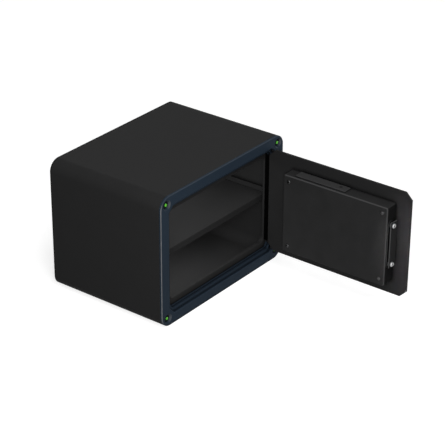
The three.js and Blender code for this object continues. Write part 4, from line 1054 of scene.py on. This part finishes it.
@dataclass
class DoorLeaf(SubAssembly):
    """The door plate and the lock cover on its inside, with the battery lid and four screws.

    The rim is the outline of the cover's inner face, where faces meet at more than the rim's angle. The
    dome gives a screw head's corners as shares of its radius and height.
    """

    edge: Edges = COATED
    lid_edge: Edges = FINE
    rim_width: float = 0.0015
    rim_segments: int = 3
    rim_angle: float = 57.0
    near: float = 0.0001
    corner: float = 0.004
    facing: float = 0.2
    cover_smooth: float = 50.0
    screws: tuple[str, ...] = ("cover_screw_1", "cover_screw_2", "cover_screw_3", "cover_screw_4")
    dome: tuple[tuple[float, float], ...] = ((0, 0), (0.35, 0.02), (0.7, 0.18), (0.92, 0.5), (1, 1), (0.5, 1))
    shank_share: float = 0.5
    head_radius: float = 0.0036
    head_height: float = 0.0018
    head_steps: int = 28
    head_facing: float = 0.5
    screw_smooth: float = 40.0
    cross_length: float = 0.0038
    cross_width: float = 0.0008
    cross_depth: float = 0.0009

    def build(self) -> None:
        """Makes the plate, the cover, its lid and its screws."""
        fine_copy("door_plate", Finish.DOOR_COAT, self.edge)
        self.cover()
        fine_copy("battery_lid", Finish.LID, self.lid_edge)
        for node in self.screws:
            self.screw(node)

    def on_rim(self, place: Vector, low: Vector, high: Vector) -> bool:
        """Whether a place lies on the outline of the cover's inner face.

        Args:
            place: The place.
            low: The low corner of the cover's box.
            high: The high corner of the cover's box.

        Returns:
            True on the outline.
        """
        sides = (place.y - low.y, high.y - place.y, place.z - low.z, high.z - place.z)
        return place.x - low.x < self.near and min(sides) < self.corner

    def cover(self) -> None:
        """Makes the lock cover, whose rim is softly rounded, with a polished edge and painted highlight on
        its top and bolt side.
        """
        low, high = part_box("lock_cover")
        mesh = merged_copy("lock_cover")
        rim = []
        for edge in mesh.edges:
            first, second = (corner.co for corner in edge.verts)
            level = abs(first.x - second.x) < self.near
            outline = level and self.on_rim(first, low, high) and self.on_rim(second, low, high)
            if outline and edge.is_manifold and edge.calc_face_angle(0.0) > math.radians(self.rim_angle):
                rim.append(edge)
        bevel(mesh, rim, self.rim_width, self.rim_segments)
        mark_edges(mesh, self.rim_width)
        layer = mesh.faces.layers.float["edge"]
        # Only rim faces turned to the front, and not down or to the hinge side, keep the mark for polish and
        # painted highlight
        for face in mesh.faces:
            way = face.normal
            turned_away = way.x > -self.facing or way.z < -self.facing or way.y > self.facing
            if turned_away or face.calc_center_median().x > low.x + self.rim_width:
                face[layer] = 0.0
        stand_in("lock_cover", mesh, Finish.COVER, self.cover_smooth)

    def cross(self, mesh: bmesh.types.BMesh) -> None:
        """Sinks a cross recess into the top of a screw's head, which stands along Z.

        Args:
            mesh: The screw, changed in place.
        """
        wide, long = self.cross_width / 2, self.cross_length / 2
        for axis in (Vector((1, 0, 0)), Vector((0, 1, 0))):
            for place in (-long, -wide, wide, long):
                geometry = mesh.verts[:] + mesh.edges[:] + mesh.faces[:]
                bmesh.ops.bisect_plane(
                    mesh, geom=geometry, dist=MERGE_TIGHT, plane_co=axis * place, plane_no=axis,
                )
        arms = []
        for face in mesh.faces:
            near, far = sorted(abs(value) for value in face.calc_center_median().xy)
            if face.normal.z > self.head_facing and near < wide and far < long:
                arms.append(face)
        moved = bmesh.ops.extrude_face_region(mesh, geom=arms)
        corners = [item for item in moved["geom"] if isinstance(item, bmesh.types.BMVert)]
        bmesh.ops.translate(mesh, vec=(0, 0, -self.cross_depth), verts=corners)
        bmesh.ops.delete(mesh, geom=arms, context="FACES")
        bmesh.ops.recalc_face_normals(mesh, faces=mesh.faces)
        put_in_order(mesh)

    def screw(self, node: str) -> None:
        """Makes one screw with a domed head and a cross recess.

        Args:
            node: The screw's CAD node.
        """
        low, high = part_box(node)
        centre = (low + high) / 2
        shank, length = self.head_radius * self.shank_share, high.x - low.x
        profile = [(self.head_radius * out, -self.head_height * down) for out, down in self.dome]
        mesh = turned(profile + [(shank, -length), (0, -length)], self.head_steps)
        self.cross(mesh)
        turn = Matrix.Translation((low.x, centre.y, centre.z)) @ Matrix.Rotation(-math.pi / 2, 4, "Y")
        bmesh.ops.transform(mesh, matrix=turn, verts=mesh.verts)
        stand_in(node, mesh, Finish.SCREW, self.screw_smooth)


@dataclass
class BoltWork(SubAssembly):
    """The bolts, their guide and bar, the spindle and the solenoid."""

    bolts: tuple[str, ...] = ("bolt_lower", "bolt_upper")
    bolt_edge: Edges = SOFT
    # The wide edge mark carries the guide's painted edge highlight
    guide_edge: Edges = Edges(0.0003, 2, narrow=0.0022)
    zinc_plated: tuple[str, ...] = ("bolt_bar", "knob_spindle", "solenoid_frame")
    dish_rim: float = 0.0012
    dish_depth: float = 0.0012
    near: float = 0.0001

    def build(self) -> None:
        """Makes the moving steel and its guide."""
        for node in self.bolts:
            self.bolt(node)
        fine_copy("bolt_guide", Finish.GUIDE, self.guide_edge)
        for node in self.zinc_plated:
            dress_node(node, Finish.ZINC)
        dress_node("solenoid_coil", Finish.COPPER)
        dress_node("solenoid_plunger", Finish.CHROME)

    def bolt(self, node: str) -> None:
        """Makes one bolt with a dish turned into its free end.

        Args:
            node: The bolt's CAD node.
        """
        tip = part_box(node)[0].y
        mesh = merged_copy(node)
        ends = [face for face in mesh.faces if abs(face.calc_center_median().y - tip) < self.near]
        bmesh.ops.inset_region(mesh, faces=ends, thickness=self.dish_rim, use_even_offset=True)
        bottom = {corner for face in ends for corner in face.verts}
        bmesh.ops.translate(mesh, vec=(0.0, self.dish_depth, 0.0), verts=list(bottom))
        round_edges(mesh, self.bolt_edge)
        stand_in(node, mesh, Finish.BOLT)


@dataclass
class Electronics(SubAssembly):
    """The battery tray with its cells, and the circuit board."""

    cells: tuple[str, ...] = ("battery_cell_1", "battery_cell_2", "battery_cell_3", "battery_cell_4")

    def build(self) -> None:
        """Dresses the tray, cells and board."""
        dress_node("battery_tray", Finish.BLACK)
        for node in self.cells:
            dress_node(node, Finish.CELL)
        dress_node("circuit_board", Finish.BOARD)
        dress_node("board_buzzer", Finish.BLACK)
        dress_node("board_connector", Finish.KEY)


@dataclass
class Controls(SubAssembly):
    """The knob, the keypad and the override lock on the outside of the door.

    The glyph share is a sign's height as a share of the font's size, and the mark's round is its end
    radius as a share of its width.
    """

    knob_edge: Edges = COATED
    fine: Edges = FINE
    tiny: Edges = TINY
    lamp_smooth: float = 60.0
    signs: str = "123456789*0#"
    sign_height: float = 0.0055
    glyph_share: float = 0.69
    ink: float = 0.00012
    mark_length: float = 0.007
    mark_width: float = 0.0016
    mark_inset: float = 0.006
    mark_round: float = 0.49
    mark_segments: int = 6

    def build(self) -> None:
        """Makes the controls and prints their signs."""
        fine_copy("turn_knob", Finish.BLACK, self.knob_edge)
        self.knob_mark()
        fine_copy("keypad_panel", Finish.BLACK, self.fine)
        for number, sign in enumerate(self.signs, 1):
            fine_copy(f"keypad_key_{number}", Finish.KEY, self.fine)
            self.key_sign(number, sign)
        fine_copy("status_lamp", Finish.LENS, self.tiny, self.lamp_smooth)
        fine_copy("override_barrel", Finish.CHROME, self.fine)
        fine_copy("override_plug", Finish.BRASS, self.tiny)

    def key_sign(self, number: int, sign: str) -> None:
        """Prints one sign on a key.

        Args:
            number: The key's number.
            sign: The sign.
        """
        node = f"keypad_key_{number}"
        text = bpy.data.curves.new(f"sign_{number}", "FONT")
        text.body = sign
        text.size = self.sign_height / self.glyph_share
        text.extrude = self.ink / 2
        text.align_x = "CENTER"
        text.align_y = "CENTER"
        holder = placed(f"sign_{number}", text)
        bpy.context.view_layer.update()
        data = bpy.data.meshes.new_from_object(holder)
        bpy.data.objects.remove(holder)
        mesh = bmesh.new()
        mesh.from_mesh(data)
        bmesh.ops.remove_doubles(mesh, verts=mesh.verts, dist=MERGE)
        low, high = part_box(node)
        centre = (low + high) / 2
        turn = Matrix(((0, 0, 1, high.x), (1, 0, 0, centre.y), (0, 1, 0, centre.z), (0, 0, 0, 1)))
        bmesh.ops.transform(mesh, matrix=turn, verts=mesh.verts)
        finish_piece(f"key_sign_{number}", mesh, node, Finish.WHITE)

    def knob_mark(self) -> None:
        """Lays a white index line with round ends on the top end of the knob's grip."""
        low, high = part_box("turn_knob")
        mesh = bmesh.new()
        bmesh.ops.create_cube(mesh, size=1.0)
        bmesh.ops.scale(mesh, vec=(2 * self.ink, self.mark_width, self.mark_length), verts=mesh.verts)
        corners = [edge for edge in mesh.edges if edge.calc_length() < self.mark_width / 2]
        bevel(mesh, corners, self.mark_width * self.mark_round, self.mark_segments)
        middle = high.z - self.mark_inset - self.mark_length / 2
        bmesh.ops.translate(mesh, vec=(high.x, (low.y + high.y) / 2, middle), verts=mesh.verts)
        finish_piece("knob_mark", mesh, "turn_knob", Finish.WHITE)


# Studio


@dataclass(frozen=True)
class Sun:
    """A distant soft lamp. Its light is the same everywhere."""

    name: str
    towards: Axes
    strength: float
    spread: float

    def hang(self) -> None:
        """Hangs the lamp."""
        light = bpy.data.lights.new(self.name, "SUN")
        light.energy = self.strength
        light.angle = math.radians(self.spread)
        holder = placed(self.name, light)
        holder.rotation_euler = Vector(self.towards).to_track_quat("Z", "Y").to_euler()


@dataclass(frozen=True)
class Softbox:
    """An area lamp, whose light stays within the beam's angle."""

    name: str
    place: Axes
    aim: Axes
    width: float
    height: float
    power: float
    beam: float

    def hang(self) -> None:
        """Hangs the lamp."""
        light = bpy.data.lights.new(self.name, "AREA")
        light.shape = "RECTANGLE"
        light.size = self.width
        light.size_y = self.height
        light.energy = self.power
        light.spread = math.radians(self.beam)
        holder = placed(self.name, light)
        holder.location = self.place
        holder.rotation_euler = (Vector(self.place) - Vector(self.aim)).to_track_quat("Z", "Y").to_euler()


@dataclass
class Studio:
    """Floor, backdrop, lamps and camera, as in a plain product photograph.

    The roof and shelf lamps hang inside the safe, which the photograph shows evenly lit.
    """

    yaw: float = 52.760
    pitch: float = 27.526
    roll: float = -0.389
    place: Axes = (-2.1285, -1.7413, 1.5290)
    lens: float = 137.56
    sensor: float = 36.0
    sight: float = 100.0
    floor_size: float = 24.0
    floor_paint: float = 0.5
    floor_glow: float = 0.74
    floor_bounce: float = 0.10
    sky: float = 0.08
    sky_seen: float = 1.0
    lamps: tuple[Sun | Softbox, ...] = (
        Sun("high_lamp", (-0.2, -0.5, 0.84), 1.22, 25.0),
        Sun("right_lamp", (0.96, -0.25, 0.13), 2.0, 30.0),
        Sun("back_lamp", (0.2, 0.97, 0.10), 1.4, 30.0),
        Softbox("near_lamp", (-1.10, -0.90, 0.75), (0.0, -0.15, 0.12), 0.5, 0.5, 14.2, 180.0),
        Softbox("roof_lamp", (-0.025, 0.022, 0.236), (-0.025, 0.022, 0.0), 0.27, 0.19, 0.345, 180.0),
        Softbox("edge_lamp", (-1.2, -0.46, 0.30), (0.143, -0.43, 0.12), 0.03, 0.15, 0.036, 6.0),
        Softbox("shelf_lamp", (-0.045, -0.012, 0.116), (-0.045, -0.012, 0.0), 0.19, 0.12, 0.215, 180.0),
    )

    def build(self) -> None:
        """Sets up the studio."""
        self.floor()
        self.backdrop()
        for lamp in self.lamps:
            lamp.hang()
        self.camera()
        bpy.context.scene.view_settings.view_transform = "Standard"

    def floor(self) -> None:
        """Lays the floor: white to the camera and in reflections, and dim in the light it throws back."""
        mesh = bmesh.new()
        bmesh.ops.create_grid(mesh, x_segments=1, y_segments=1, size=self.floor_size / 2)
        data = bpy.data.meshes.new("floor")
        mesh.to_mesh(data)
        mesh.free()
        tree = ShaderTree("floor_paint")
        dim = tree.node("ShaderNodeBsdfDiffuse", {}, {"Color": (*[self.floor_bounce] * 3, 1.0)})
        paint = tree.node("ShaderNodeBsdfDiffuse", {}, {"Color": (*[self.floor_paint] * 3, 1.0)})
        glow = tree.node("ShaderNodeEmission", {}, {"Color": WHITE, "Strength": self.floor_glow})
        bright = tree.node("ShaderNodeAddShader", {}, {0: paint.outputs[0], 1: glow.outputs[0]})
        tree.seen_mix(dim, bright, "ShaderNodeOutputMaterial")
        data.materials.append(tree.owner)
        floor = placed("floor", data)

    def backdrop(self) -> None:
        """Makes the surroundings white to the camera and in reflections, and dim in their light."""
        tree = ShaderTree("surroundings", bpy.data.worlds)
        dim = tree.node("ShaderNodeBackground", {}, {"Color": WHITE, "Strength": self.sky})
        white = tree.node("ShaderNodeBackground", {}, {"Color": WHITE, "Strength": self.sky_seen})
        tree.seen_mix(dim, white, "ShaderNodeOutputWorld")
        bpy.context.scene.world = tree.owner

    def camera(self) -> None:
        """Places the camera where the photograph was taken from."""
        yaw, pitch, roll = (math.radians(angle) for angle in (self.yaw, self.pitch, self.roll))
        level = Vector((math.sin(yaw), math.cos(yaw), 0.0)) * math.cos(pitch)
        forward = level - Vector((0.0, 0.0, math.sin(pitch)))
        right = Vector((math.cos(yaw), -math.sin(yaw), 0.0))
        across = math.cos(roll) * right + math.sin(roll) * forward.cross(right)
        below = forward.cross(across)
        data = bpy.data.cameras.new("camera")
        data.lens = self.lens
        data.sensor_width = self.sensor
        data.clip_end = self.sight
        holder = placed("camera", data)
        turn = Matrix((across, -below, -forward)).transposed().to_4x4()
        holder.matrix_world = Matrix.Translation(self.place) @ turn
        bpy.context.scene.camera = holder


def main() -> None:
    """Builds the studio and every sub-assembly."""
    logging.basicConfig(level=logging.INFO, format="%(name)s: %(message)s")
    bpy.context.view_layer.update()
    Studio().build()
    for part in (Shell(), FrontFrame(), Hinge(), DoorLeaf(), BoltWork(), Electronics(), Controls()):
        LOG.info("building %s", type(part).__name__)
        part.build()


if __name__ == "__main__":
    main()
